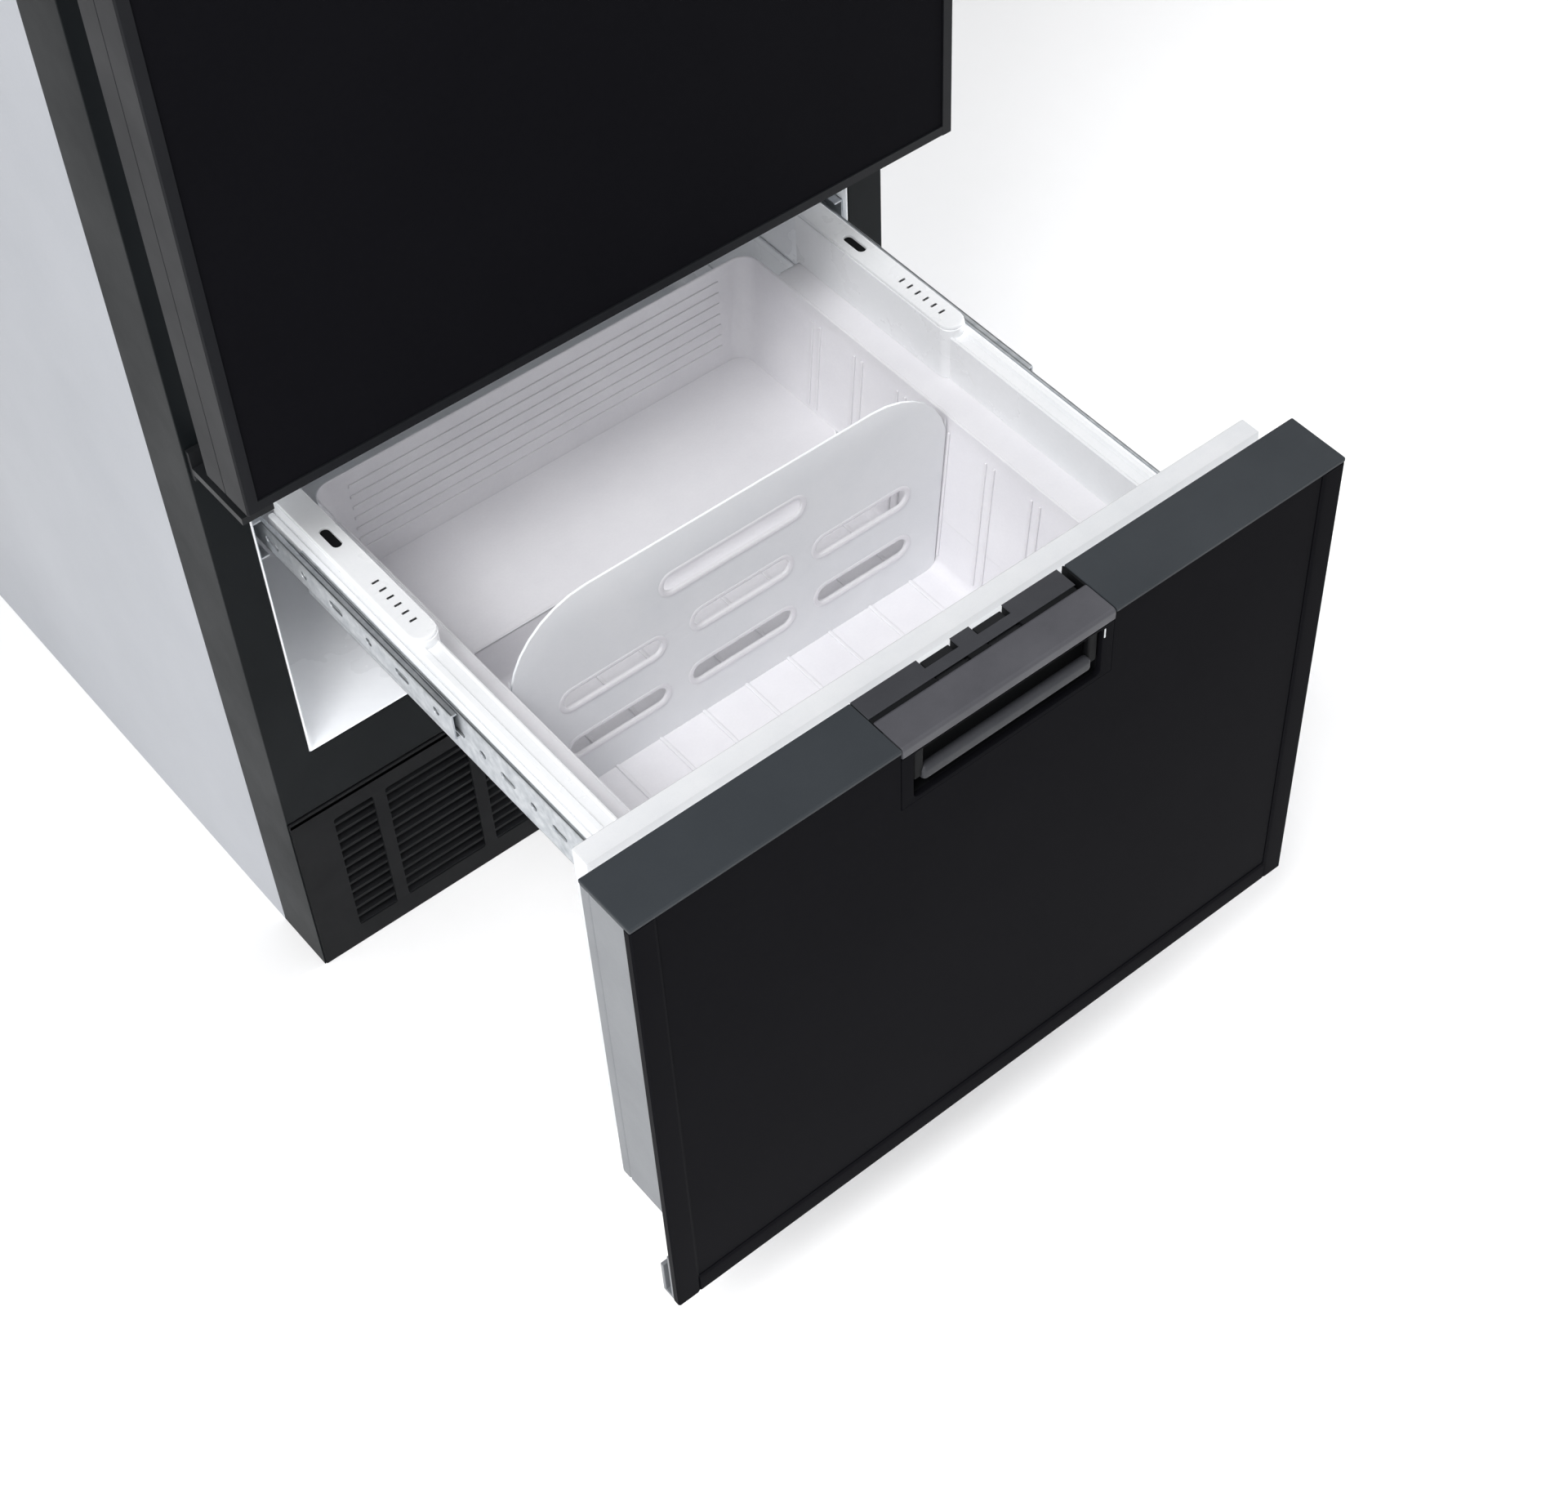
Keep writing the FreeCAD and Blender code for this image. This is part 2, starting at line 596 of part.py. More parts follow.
def latch_space(name, turned):
    """The room that a cassette takes out of the front it sits in."""
    low = block(name + "_low", both("latch_x"), f"{DRAWER_FACE} - 1 : {DRAWER_FACE} + latch_deep",
                "latch_low : latch_step")
    high = block(name + "_high", both("latch_x"), f"{DRAWER_FACE} - 1 : {DRAWER_BACK} + 1",
                 "latch_step : cap_top + 1")
    return on_door(fuse(name, low, high)) if turned else fuse(name, low, high)


def on_door(item):
    """Turn a cassette piece from the drawer's top edge to the door's right edge."""
    item.Placement = FreeCAD.Placement(FreeCAD.Vector(), TURNS["x"])
    bind(item, "Placement.Base.x", "half_wide - cap_top")
    bind(item, "Placement.Base.y", "drawer_out")
    bind(item, "Placement.Base.z", "door_latch_z")
    return item


def latch_set(owner, turned):
    """Housing with a finger pocket, a sprung lever bar and the hook it works."""
    face, rear = DRAWER_FACE, DRAWER_BACK
    low = block("case_low", both("latch_x"), f"{face} : {face} + latch_deep",
                "latch_low : latch_step + 1")
    high = block("case_high", both("latch_x"), f"{face} : {rear}", "latch_step : cap_top")
    pocket = block("case_pocket", both("pocket_x"), f"{face} - 1 : {face} + pocket_deep",
                   "pocket_low : pocket_high")
    groove = block("case_groove", both("latch_x + 1"),
                   f"{face} + groove_front : {face} + groove_back", "cap_top - 4 : cap_top + 1")
    slots = []
    for _, side in SIDES:
        wide = mirrored(side, "claw_in - 2 : claw_out + 2")
        slots += [
            block("claw_room", wide, f"{face} + 23 : {rear} + 1", "claw_slot : cap_top - 1"),
            block("claw_notch", wide, f"{face} + cover_edge : {rear} + 1",
                  "claw_slot : cap_top + 1"),
        ]
    play = "pin_play"
    lever_at = (f"{face} + lever_deep", "lever_z")
    hook_at = (f"{face} + hook_deep", "hook_z")
    lever_bore = rod("lever_bore", "x", f"2.5 + {play}", both("bar_x + 6"), lever_at)
    hook_bore = rod("hook_bore", "x", f"1.5 + {play}", both("claw_out + 6"), hook_at)
    case = cut(f"{owner}_latch_housing", fuse("case_body", low, high), pocket, groove,
               lever_bore, hook_bore, *slots)

    bar = block("lever_bar", both("bar_x"), f"{face} + 1 : {face} + 1 + bar_t",
                "bar_low : bar_high")
    legs = [
        block("lever_leg", mirrored(side, "bar_x - arm_wide : bar_x"),
              f"{face} + 3 : {face} + 1 + bar_t", "bar_low : lever_z + 4")
        for _, side in SIDES
    ]
    pins = [
        rod("lever_pin", "x", "2.5", mirrored(side, "bar_x - 1 : bar_x + 5"), lever_at)
        for _, side in SIDES
    ]
    lever = fuse(f"{owner}_lever", bar, *legs, *pins)

    claws = []
    for _, side in SIDES:
        wide = mirrored(side, "claw_in : claw_out")
        claws += [
            block("hook_arm", wide, f"{face} + 26 : {face} + claw_back",
                  "hook_z - 2 : hook_z + 2"),
            block("hook_tooth", wide, f"{face} + tooth_front : {face} + claw_back",
                  "keep_z + keep_t + 1 : hook_z"),
        ]
    pin = rod("hook_pin", "x", "1.5", both("claw_out + 5"), hook_at)
    hook = fuse(f"{owner}_latch_hook", pin, *claws)
    for item in (case, lever, hook):
        keep(on_door(item) if turned else item)


# ---------------------------------------------------------------- refrigerator door

def seal_ring(name, back, low, high):
    """A flat gasket ring on the back of a door, just short of the frame."""
    deep = f"{back} : {back} + door_gap - seal_slack"
    outer = block(name + "_outer", both("seal_out"), deep, f"{low} : {high}")
    inner = block(name + "_inner", both("seal_out - seal_wide"), f"{back} - 1 : {back} + door_gap",
                  f"{low} + seal_wide : {high} - seal_wide")
    return keep(cut(name, outer, inner))


def refrigerator_door():
    tall = "door_low : door_high"
    skin = block("door_sheet", both("half_wide"), f"{DOOR_FACE} : {DOOR_FACE} + skin_t", tall)
    keep(cut("door_panel", skin, latch_space("door_skin_gap", True)))

    slug = block("door_slug", both("half_wide"), f"{DOOR_FACE} + skin_t : {DOOR_BACK}", tall)
    dikes = [
        block("door_dike", mirrored(side, "dike_x - dike_t : dike_x"),
              f"{DOOR_BACK} - 1 : dike_back", "door_low + 45 : door_high - 62")
        for _, side in SIDES
    ]
    socket = "pin_r + pin_play"
    bores = [
        rod("door_bore", "z", socket, along, ("pin_x", "pin_y"))
        for along in ("door_low - 1 : door_low + 15", "door_high - 17 : door_high + 1")
    ]
    body = fuse("door_body", slug, *dikes)
    keep(cut("door_core", body, latch_space("door_core_gap", True), *bores))
    seal_ring("door_gasket", DOOR_BACK, "door_low + 4", "door_high - 24")

    for label, level in (("lower", "700"), ("upper", "1120")):
        outer = block("bin_outer", both("bin_x"), f"{DOOR_BACK} : bin_back",
                      f"{level} : {level} + bin_tall")
        inner = block("bin_inner", both("bin_x - bin_t"), f"{DOOR_BACK} + bin_t : bin_back - bin_t",
                      f"{level} + bin_t : {level} + bin_tall + 1")
        keep(cut(f"door_bin_{label}", outer, inner))


# ---------------------------------------------------------------- freezer drawer

def drawer_front():
    face, rear = DRAWER_FACE, DRAWER_BACK
    inner_x = "half_wide - trim_wide"
    sheet_back = f"{face} + trim_t"
    outer = block("trim_outer", both("half_wide"), f"{face} : {sheet_back}", "panel_low : cap_low")
    hole = block("trim_hole", both(inner_x), f"{face} - 1 : {sheet_back} + 1",
                 "panel_low + trim_wide : cap_low + 1")
    keep(cut("drawer_trim", outer, hole))
    sheet_plate = block("drawer_sheet", both(inner_x), f"{face} + panel_set : {sheet_back}",
                        "panel_low + trim_wide : cap_low")
    keep(cut("drawer_panel", sheet_plate, latch_space("panel_gap", False)))

    slug = block("drawer_slug", both("half_wide"), f"{sheet_back} : {rear}", "body_low : cap_low")
    keep(cut("drawer_core", slug, latch_space("core_gap", False)))
    cap = block("cap_bar", both("half_wide"), f"{face} : {rear}", "cap_low : cap_top")
    keep(cut("drawer_cap", cap, latch_space("cap_gap", False)))
    seal_ring("drawer_gasket", rear, "seal_low", "seal_high")
    keep(group("drawer_hooks", *[lower_hook(label, side) for label, side in SIDES]))


def lower_hook(label, side):
    """A folded bracket behind the lower corner of the front panel."""
    back = f"{DRAWER_FACE} + trim_t"
    profile = [
        (back, "panel_low + 2"), (f"{back} + 12", "panel_low + 2"),
        (f"{back} + 12", "panel_low + 38"), (f"{back} + 9", "panel_low + 38"),
        (f"{back} + 9", "panel_low + 5"), (f"{back} + 2.5", "panel_low + 5"),
        (f"{back} + 2.5", "panel_low + 60"), (back, "panel_low + 60"),
    ]
    return slab(f"hook_{label}", "YZ", profile, mirrored(side, "half_wide - 14 : half_wide"))


def runners():
    """Side arms, their covers and the three nested slide members of each side."""
    reach = f"{DRAWER_BACK} : arm_back"
    channel = "channel_t"
    for label, side in SIDES:
        def points(*corners):
            return [(f"{side} * ({x})", z) for x, z in corners]

        keep(slab(f"drawer_arm_{label}", "XZ", points(
            ("arm_out", "arm_low"), ("arm_out", "arm_high"), ("arm_in", "arm_high"),
            ("arm_in", "arm_low + ledge_t"), ("ledge_in", "arm_low + ledge_t"),
            ("ledge_in", "arm_low"),
        ), reach))

        wide = block("cover_wide", mirrored(side, "cover_in : arm_in"),
                     "cover_front + 11 : cover_back", "cover_low : cover_top")
        nose = rod("cover_nose", "z", "11", "cover_low : cover_top",
                   (f"{side} * (cover_in + 11)", "cover_front + 11"))
        narrow = block("cover_narrow", mirrored(side, "cover_in + 4 : arm_in"),
                       f"{DRAWER_BACK} : cover_front + 11", "cover_low : cover_top - 8")
        slot = block("cover_slot_cut", mirrored(side, "cover_in + 7 : arm_in - 7"),
                     "-360 : -338", "cover_top - 12 : cover_top + 1")
        keep(cut(f"rail_cover_{label}", fuse(f"cover_body_{label}", wide, nose, narrow), slot))

        wall = "opening_x - liner_t"
        keep(slab(f"slide_outer_{label}", "XZ", points(
            ("outer_in", "outer_low"), (wall, "outer_low"), (wall, "outer_high"),
            ("outer_in", "outer_high"), ("outer_in", f"outer_high - {channel}"),
            (f"{wall} - {channel}", f"outer_high - {channel}"),
            (f"{wall} - {channel}", f"outer_low + {channel}"),
            ("outer_in", f"outer_low + {channel}"),
        ), "front_y + 4 : front_y + 4 + slide_long + 10"))

        web, thin = "middle_out - middle_t", "middle_t"
        keep(slab(f"slide_middle_{label}", "XZ", points(
            ("middle_in", "middle_low"), ("middle_out", "middle_low"),
            ("middle_out", "middle_high"), ("middle_in", "middle_high"),
            ("middle_in", f"middle_high - {thin}"), (web, f"middle_high - {thin}"),
            (web, f"middle_low + {thin}"), ("middle_in", f"middle_low + {thin}"),
        ), "middle_front : middle_front + slide_long"))

        keep(block(f"slide_inner_{label}", mirrored(side, "arm_out : inner_out"),
                   f"{DRAWER_BACK} : {DRAWER_BACK} + slide_long", "arm_low : arm_high"))


def basket():
    """A deep front well and a shallow rear shelf, with a rim that hangs on the arms."""
    wall = "basket_t"
    whole = tapered("basket_outer", f"basket_foot + {wall}", f"basket_x + {wall}",
                    "basket_front : basket_back", f"floor_z - {wall} : rim_z")
    under = block("under_shelf", both("half_wide"), f"basket_step + {wall} : basket_back + 1",
                  f"0 : shelf_z - {wall}")
    space = tapered("basket_space", "basket_foot", "basket_x",
                    f"basket_front + {wall} : basket_back - {wall}", "floor_z : rim_z + 1")
    shelf = block("shelf_block", both("half_wide"), "basket_step : basket_back", "0 : shelf_z")
    rim = block("basket_rim", both("arm_in - 1"), "basket_front : arm_back - 4",
                "rim_z - 3 : rim_z")
    shell = fuse("basket_shell", cut("basket_form", whole, under), rim)
    keep(cut("basket", shell, cut("basket_room", space, shelf)))


def divider():
    """An arched plate across the well, pierced by oblong slots."""
    plate = [
        ("-divider_foot", "floor_z"), ("divider_foot", "floor_z"), ("divider_x", "rim_z"),
        ("divider_x", "divider_top"), ("-divider_x", "divider_top"), ("-divider_x", "rim_z"),
    ]
    body = slab("divider_plate", "XZ", plate, "divider_y - divider_t : divider_y")
    doc.recompute()
    top = size("divider_top")
    pad = body.Tip
    corners = [
        f"Edge{index}"
        for index, edge in enumerate(pad.Shape.Edges, 1)
        if edge.BoundBox.XLength < 0.01 and edge.BoundBox.YLength > 1
        and abs(edge.BoundBox.ZMin - top) < 0.01
    ]
    rounding = body.newObject("PartDesign::Fillet", "divider_shoulders")
    rounding.Base = (pad, corners)
    bind(rounding, "Radius", "divider_round")
    body.Tip = rounding
    through = "divider_y - divider_t - 1 : divider_y + 1"
    rows = [("-65", "60", 452), ("-42", "46", 400), ("-47", "46", 345)]
    rows += [(low, high, z) for low, high in (("-157", "-70"), ("70", "157")) for z in (397, 345)]
    tools = []
    for low, high, z in rows:
        start, end = f"{low} + slot_r", f"{high} - slot_r"
        tools.append(block("slot_box", f"{start} : {end}", through, f"{z} - slot_r : {z} + slot_r"))
        tools += [rod("slot_end", "y", "slot_r", through, (x, str(z))) for x in (start, end)]
    keep(cut("divider", body, fuse("divider_slots", *tools)))


# ---------------------------------------------------------------- build and write

cabinet_shell()
front_frame()
base_grille()
liners_and_foam()
shelves()
condenser_side()
evaporator_side()
compressor()
machine_room()
ice_maker()
hinges()
latch_keepers()
refrigerator_door()
latch_set("door", True)
drawer_front()
latch_set("drawer", False)
runners()
basket()
divider()
doc.recompute()

for item in doc.Objects:
    states = [state for state in item.State if state in ("Invalid", "Error")]
    if states:
        raise RuntimeError(f"{item.Name} did not build: {states}")
for item in nodes:
    if item.Shape.isNull() or not item.Shape.isValid():
        raise RuntimeError(f"{item.Name} has no valid shape")

os.makedirs("parts", exist_ok=True)
for item in nodes:
    item.Shape.exportStep(f"parts/{item.Label}.step")
print(len(nodes), "pieces written")
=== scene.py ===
import math

import bmesh
import bpy
from mathutils import Matrix, Vector


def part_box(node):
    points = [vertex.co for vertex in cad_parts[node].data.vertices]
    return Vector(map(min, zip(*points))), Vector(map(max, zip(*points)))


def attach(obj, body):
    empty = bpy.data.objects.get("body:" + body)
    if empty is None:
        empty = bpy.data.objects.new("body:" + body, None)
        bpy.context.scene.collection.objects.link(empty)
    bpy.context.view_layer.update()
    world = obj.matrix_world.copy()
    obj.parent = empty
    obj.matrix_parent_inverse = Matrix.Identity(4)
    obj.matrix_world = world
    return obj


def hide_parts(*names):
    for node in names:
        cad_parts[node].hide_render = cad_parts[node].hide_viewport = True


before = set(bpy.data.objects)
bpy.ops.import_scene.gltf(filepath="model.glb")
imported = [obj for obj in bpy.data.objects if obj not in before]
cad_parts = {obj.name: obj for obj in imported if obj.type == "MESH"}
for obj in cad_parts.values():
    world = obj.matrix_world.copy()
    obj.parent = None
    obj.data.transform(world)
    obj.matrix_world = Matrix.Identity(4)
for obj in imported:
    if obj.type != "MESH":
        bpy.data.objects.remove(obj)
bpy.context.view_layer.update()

CABINET, DRAWER, DOOR = "cabinet", "drawer", "refrigerator_door"
SIDES = (("left", -1), ("right", 1))
MM = 0.001


# -------------------- outlines and solids

def rectangle(u0, u1, v0, v1, radius=0.0, steps=4):
    """A rectangle with round corners, anticlockwise."""
    if radius <= 0:
        return [(u1, v1), (u0, v1), (u0, v0), (u1, v0)]
    corners = (
        (u1 - radius, v1 - radius), (u0 + radius, v1 - radius),
        (u0 + radius, v0 + radius), (u1 - radius, v0 + radius),
    )
    points = []
    for quarter, (u, v) in enumerate(corners):
        for step in range(steps + 1):
            turn = math.pi / 2 * (quarter + step / steps)
            points.append((u + radius * math.cos(turn), v + radius * math.sin(turn)))
    return points


def notched_rectangle(half, low, high, notch_half, notch_floor):
    """A rectangle with a square notch in the middle of its top."""
    return [(-half, low), (half, low), (half, high), (notch_half, high),
            (notch_half, notch_floor), (-notch_half, notch_floor), (-notch_half, high),
            (-half, high)]


def circle(u, v, radius, steps=32):
    """A circle as a polygon, anticlockwise."""
    turns = [2 * math.pi * step / steps for step in range(steps)]
    return [(u + radius * math.cos(turn), v + radius * math.sin(turn)) for turn in turns]


def grow(outline, by):
    """The same outline with every edge moved outwards, whichever way round it runs."""
    area = sum(a[0] * b[1] - b[0] * a[1] for a, b in zip(outline, outline[1:] + outline[:1]))
    by = math.copysign(by, by * area)
    moved = []
    for index, point in enumerate(outline):
        here = Vector(point)
        before = here - Vector(outline[index - 1])
        after = Vector(outline[(index + 1) % len(outline)]) - here
        first = Vector((before.y, -before.x)).normalized()
        second = Vector((after.y, -after.x)).normalized()
        middle = (first + second).normalized()
        moved.append(tuple(here + middle * (by / max(0.35, middle.dot(first)))))
    return moved


def mirrored(outline, side):
    """The outline as drawn for the right, or its mirror image for the left."""
    return [(side * u, v) for u, v in outline]


def place(outline, axis, at):
    """Puts a flat outline across an axis."""
    order = {"x": (2, 0, 1), "y": (0, 2, 1), "z": (0, 1, 2)}[axis]
    return [tuple((u, v, at)[index] for index in order) for u, v in outline]


def loft(mesh, loops, closed=False):
    """Skins loops of equal length; open ends are capped."""
    rows = [[mesh.verts.new(point) for point in loop] for loop in loops]
    pairs = list(zip(rows, rows[1:]))
    if closed:
        pairs.append((rows[-1], rows[0]))
    for low, high in pairs:
        for index in range(len(low)):
            after = (index + 1) % len(low)
            mesh.faces.new((low[index], low[after], high[after], high[index]))
    if not closed:
        mesh.faces.new(rows[0])
        mesh.faces.new(rows[-1])


def bar(mesh, outline, axis, low, high, soft=1 * MM, steps=3):
    """A prism along an axis, with both end edges rounded."""
    ends = []
    for step in range(steps + 1):
        turn = math.pi / 2 * step / steps
        ends.append((soft * (1 - math.sin(turn)), soft * (1 - math.cos(turn))))
    loops = [(inset, low + rise) for inset, rise in ends]
    loops += [(inset, high - rise) for inset, rise in reversed(ends)]
    loft(mesh, [place(grow(outline, -inset), axis, at) for inset, at in loops])


def block(mesh, low, high, soft=1 * MM, axis="z"):
    """A box with every edge rounded; axis is the one that its round corners run along."""
    across = [index for index, letter in enumerate("xyz") if letter != axis]
    along = "xyz".index(axis)
    u, v = across
    outline = rectangle(low[u], high[u], low[v], high[v], soft, 3)
    bar(mesh, outline, axis, low[along], high[along], soft)


def pair(mesh, x_range, y_range, z_range, soft=1 * MM, axis="z"):
    """The same rounded box on the left and on the right of the middle."""
    for _, side in SIDES:
        x0, x1 = sorted(side * x for x in x_range)
        block(mesh, (x0, y_range[0], z_range[0]), (x1, y_range[1], z_range[1]), soft, axis)


def collar(mesh, outline, axis, profile):
    """A closed ring: its profile lists how far out and how far along each edge lies."""
    loft(mesh, [place(grow(outline, out), axis, at) for out, at in profile], closed=True)


def turned(mesh, axis, centre, profile, steps=40):
    """A turned form: its profile lists radius and place along the axis."""
    loft(mesh, [place(circle(*centre, radius, steps), axis, at) for radius, at in profile])


def pan_head(mesh, slots, axis, centre, seat, way, radius):
    """A pan-head screw whose cross recess is two thin bars in slots, coloured as painted shade;
    way is the direction it faces.
    """
    profile = [(radius, 0), (radius, 0.35), (radius * 0.8, 0.8), (radius * 0.4, 1)]
    turned(mesh, axis, centre, [(r, seat + way * radius * 0.42 * t) for r, t in profile], 20)
    face = seat + way * radius * 0.43
    # The cross recess: two flat bars at the head's face that carry painted shade.
    for wide, tall in ((0.5, 0.1), (0.1, 0.5)):
        outline = rectangle(centre[0] - radius * wide, centre[0] + radius * wide,
                            centre[1] - radius * tall, centre[1] + radius * tall)
        bar(slots, outline, axis, min(face, face - way * 0.3 * MM),
            max(face, face - way * 0.3 * MM), 0.05 * MM, 1)


def tub(mesh, box, axis, floor, rim, wall, soft, corner, mouth=None, lean=0.0):
    """An open container: up its outside, over the rim and down inside. Its corners can be
    squarer at the mouth than they are in its depth, and its sides can lean in."""
    u0, u1, v0, v1 = box
    mouth = corner if mouth is None else mouth
    way = 1 if rim > floor else -1
    arc = [math.pi / 2 * step / 4 for step in range(5)]
    outer = [(soft * (1 - math.sin(t)), floor + way * soft * (1 - math.cos(t)), corner)
             for t in arc]
    outer.append((0, rim - way * 12 * MM, corner))
    inner = [(inset + wall, at + way * wall, radius) for inset, at, radius in reversed(outer)]
    lip = [(0, rim - way * wall / 3, mouth), (wall / 3, rim, mouth), (2 * wall / 3, rim, mouth),
           (wall, rim - way * wall / 3, mouth)]
    loops = []
    for inset, at, radius in outer + lip + inner:
        taper = inset + lean * (rim - at) / (rim - floor)
        outline = rectangle(u0 + taper, u1 - taper, v0 + inset, v1 - inset,
                            max(radius - inset, 0.6 * MM))
        loops.append(place(outline, axis, at))
    loft(mesh, loops)


def plate(mesh, outlines, axis, low, high, soft=0.5 * MM):
    """A flat plate: the first outline is its edge and the others are holes through it."""
    curve = bpy.data.curves.new("plate", "CURVE")
    curve.dimensions, curve.fill_mode = "2D", "BOTH"
    for outline in outlines:
        spline = curve.splines.new("POLY")
        spline.points.add(len(outline) - 1)
        for point, (u, v) in zip(spline.points, outline):
            point.co = (u, v, 0, 1)
        spline.use_cyclic_u = True
    curve.extrude = (high - low) / 2 - soft
    curve.bevel_depth, curve.bevel_resolution, curve.offset = soft, 1, -soft
    carrier = bpy.data.objects.new("plate", curve)
    flat = bpy.data.meshes.new_from_object(carrier)
    middle = (low + high) / 2
    for vertex in flat.vertices:
        u, v, w = vertex.co
        vertex.co = place([(u, v)], axis, w + middle)[0]
    mesh.from_mesh(flat)
    bpy.data.objects.remove(carrier)
    bpy.data.curves.remove(curve)
    bpy.data.meshes.remove(flat)


def piece(name, mesh, material, body, *stands_for):
    """Turns finished geometry into a named object that moves with a body."""
    bmesh.ops.remove_doubles(mesh, verts=mesh.verts, dist=0.002 * MM)
    bmesh.ops.recalc_face_normals(mesh, faces=mesh.faces)
    data = bpy.data.meshes.new(name)
    mesh.to_mesh(data)
    mesh.free()
    data.materials.append(material)
    data.polygons.foreach_set("use_smooth", [True] * len(data.polygons))
    data.set_sharp_from_angle(angle=math.radians(40))
    item = bpy.data.objects.new(name, data)
    bpy.context.scene.collection.objects.link(item)
    evened = item.modifiers.new("even shading", "WEIGHTED_NORMAL")
    evened.keep_sharp = True
    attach(item, body)
    if stands_for:
        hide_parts(*stands_for)


# -------------------- materials

def colour(code):
    """An sRGB hex value as linear light."""
    parts = [int(code[index:index + 2], 16) / 255 for index in (1, 3, 5)]
    linear = [part / 12.92 if part <= 0.04045 else ((part + 0.055) / 1.055) ** 2.4
              for part in parts]
    return (*linear, 1.0)


def add(tree, kind, settings=None, inputs=None):
    """Adds a node with its settings, and its inputs as values or links."""
    made = tree.nodes.new(kind)
    for key, value in (settings or {}).items():
        setattr(made, key, value)
    for key, value in (inputs or {}).items():
        if isinstance(value, bpy.types.NodeSocket):
            tree.links.new(value, made.inputs[key])
        else:
            made.inputs[key].default_value = value
    return made


def surface(name, tones, gloss, drift=140, grain=1.0, depth=0.02, cells=False, stretch=None,
            **shader):
    """Builds a finish. tones: two colours it drifts between; gloss: lowest and highest
    roughness; drift, grain and depth: millimetres of the mottle, the relief and its height."""
    material = bpy.data.materials.new(name)
    material.use_nodes = True
    tree = material.node_tree
    body = tree.nodes["Principled BSDF"]
    where = add(tree, "ShaderNodeTexCoord").outputs["Object"]
    if stretch:
        where = add(tree, "ShaderNodeMapping", None,
                    {"Vector": where, "Scale": stretch}).outputs["Vector"]
    mottle = add(tree, "ShaderNodeTexNoise", None, {
        "Vector": where, "Scale": 1000 / drift, "Detail": 5.0, "Roughness": 0.62,
    }).outputs["Fac"]
    if cells:
        relief = add(tree, "ShaderNodeTexVoronoi", {"feature": "SMOOTH_F1"}, {
            "Vector": where, "Scale": 1000 / grain,
        }).outputs["Distance"]
    else:
        relief = add(tree, "ShaderNodeTexNoise", None, {
            "Vector": where, "Scale": 1000 / grain, "Detail": 3.0,
        }).outputs["Fac"]
    blend = add(tree, "ShaderNodeMath", {"operation": "MULTIPLY_ADD"}, {
        0: relief, 1: 0.35, 2: mottle,
    }).outputs[0]
    spread = add(tree, "ShaderNodeMapRange", None, {
        "Value": blend, "From Min": 0.4, "From Max": 0.95,
    }).outputs["Result"]
    tint = add(tree, "ShaderNodeMix", {"data_type": "RGBA"}, {
        "Factor": spread, "A": colour(tones[0]), "B": colour(tones[1]),
    })
    rough = add(tree, "ShaderNodeMapRange", None, {
        "Value": mottle, "From Min": 0.3, "From Max": 0.7, "To Min": gloss[0], "To Max": gloss[1],
    })
    bump = add(tree, "ShaderNodeBump", None, {
        "Height": relief, "Distance": depth * MM, "Strength": 1.0,
    })
    tree.links.new(tint.outputs["Result"], body.inputs["Base Color"])
    tree.links.new(rough.outputs["Result"], body.inputs["Roughness"])
    tree.links.new(bump.outputs["Normal"], body.inputs["Normal"])
    for key, value in shader.items():
        body.inputs[key.replace("_", " ").title().replace("Ior", "IOR")].default_value = value
    return material


# Powder-coated sheet steel: satin light grey with a faint orange peel.
PAINTED_STEEL = surface("powder_coated_steel", ("#a7aab0", "#9da0a6"), (0.36, 0.46),
                        drift=400, grain=2.4, depth=0.025, ior=1.5)
# Black powder-coated frame: satin, fine pebble, edges catch a soft light.
BLACK_FRAME = surface("black_powder_coat", ("#131618", "#0e1113"), (0.42, 0.52),
                      drift=90, grain=1.1, depth=0.03, specular_ior_level=0.08)
# Moulded black ABS with a spark-eroded grain, for the grille and fans.
BLACK_ABS = surface("moulded_black_abs", ("#111214", "#0c0d0f"), (0.45, 0.6),
                    drift=60, grain=0.8, depth=0.03, cells=True, specular_ior_level=0.1)
# Pre-painted black sheet: smooth satin gloss with a very light waviness.
BLACK_SHEET = surface("painted_black_sheet", ("#131316", "#0f0f12"), (0.3, 0.36),
                      drift=500, grain=5.0, depth=0.006, specular_ior_level=0.006)
# Charcoal ABS moulding for the top cap and door edges: matt, lightly grained.
CHARCOAL_ABS = surface("moulded_charcoal_abs", ("#373b3f", "#2e3236"), (0.46, 0.56),
                       drift=110, grain=0.9, depth=0.02, specular_ior_level=0.2)
# Dark ABS edge trims of the upper door: satin, so the flanks stand off from the black sheet.
DARK_EDGE_ABS = surface("dark_edge_abs", ("#1a1b1e", "#141518"), (0.42, 0.52),
                        drift=110, grain=0.9, depth=0.02, specular_ior_level=0.12)
# Grey high-impact polystyrene of the drawer's insulated body: satin, slightly uneven.
GREY_STYRENE = surface("grey_polystyrene", ("#74777b", "#696c70"), (0.4, 0.52),
                       drift=120, grain=1.4, depth=0.02, ior=1.59)
# White vacuum-formed polystyrene liner: glossy, with soft unevenness from forming.
WHITE_LINER = surface("vacuum_formed_white_styrene", ("#f6f8fa", "#eff1f4"), (0.22, 0.34),
                      drift=180, grain=6.0, depth=0.03, ior=1.59)
# White moulded ABS for rail covers and arms: gloss with clean edges.
WHITE_ABS = surface("moulded_white_abs", ("#edeef0", "#e4e6e8"), (0.24, 0.34),
                    drift=90, grain=3.0, depth=0.008, ior=1.53)
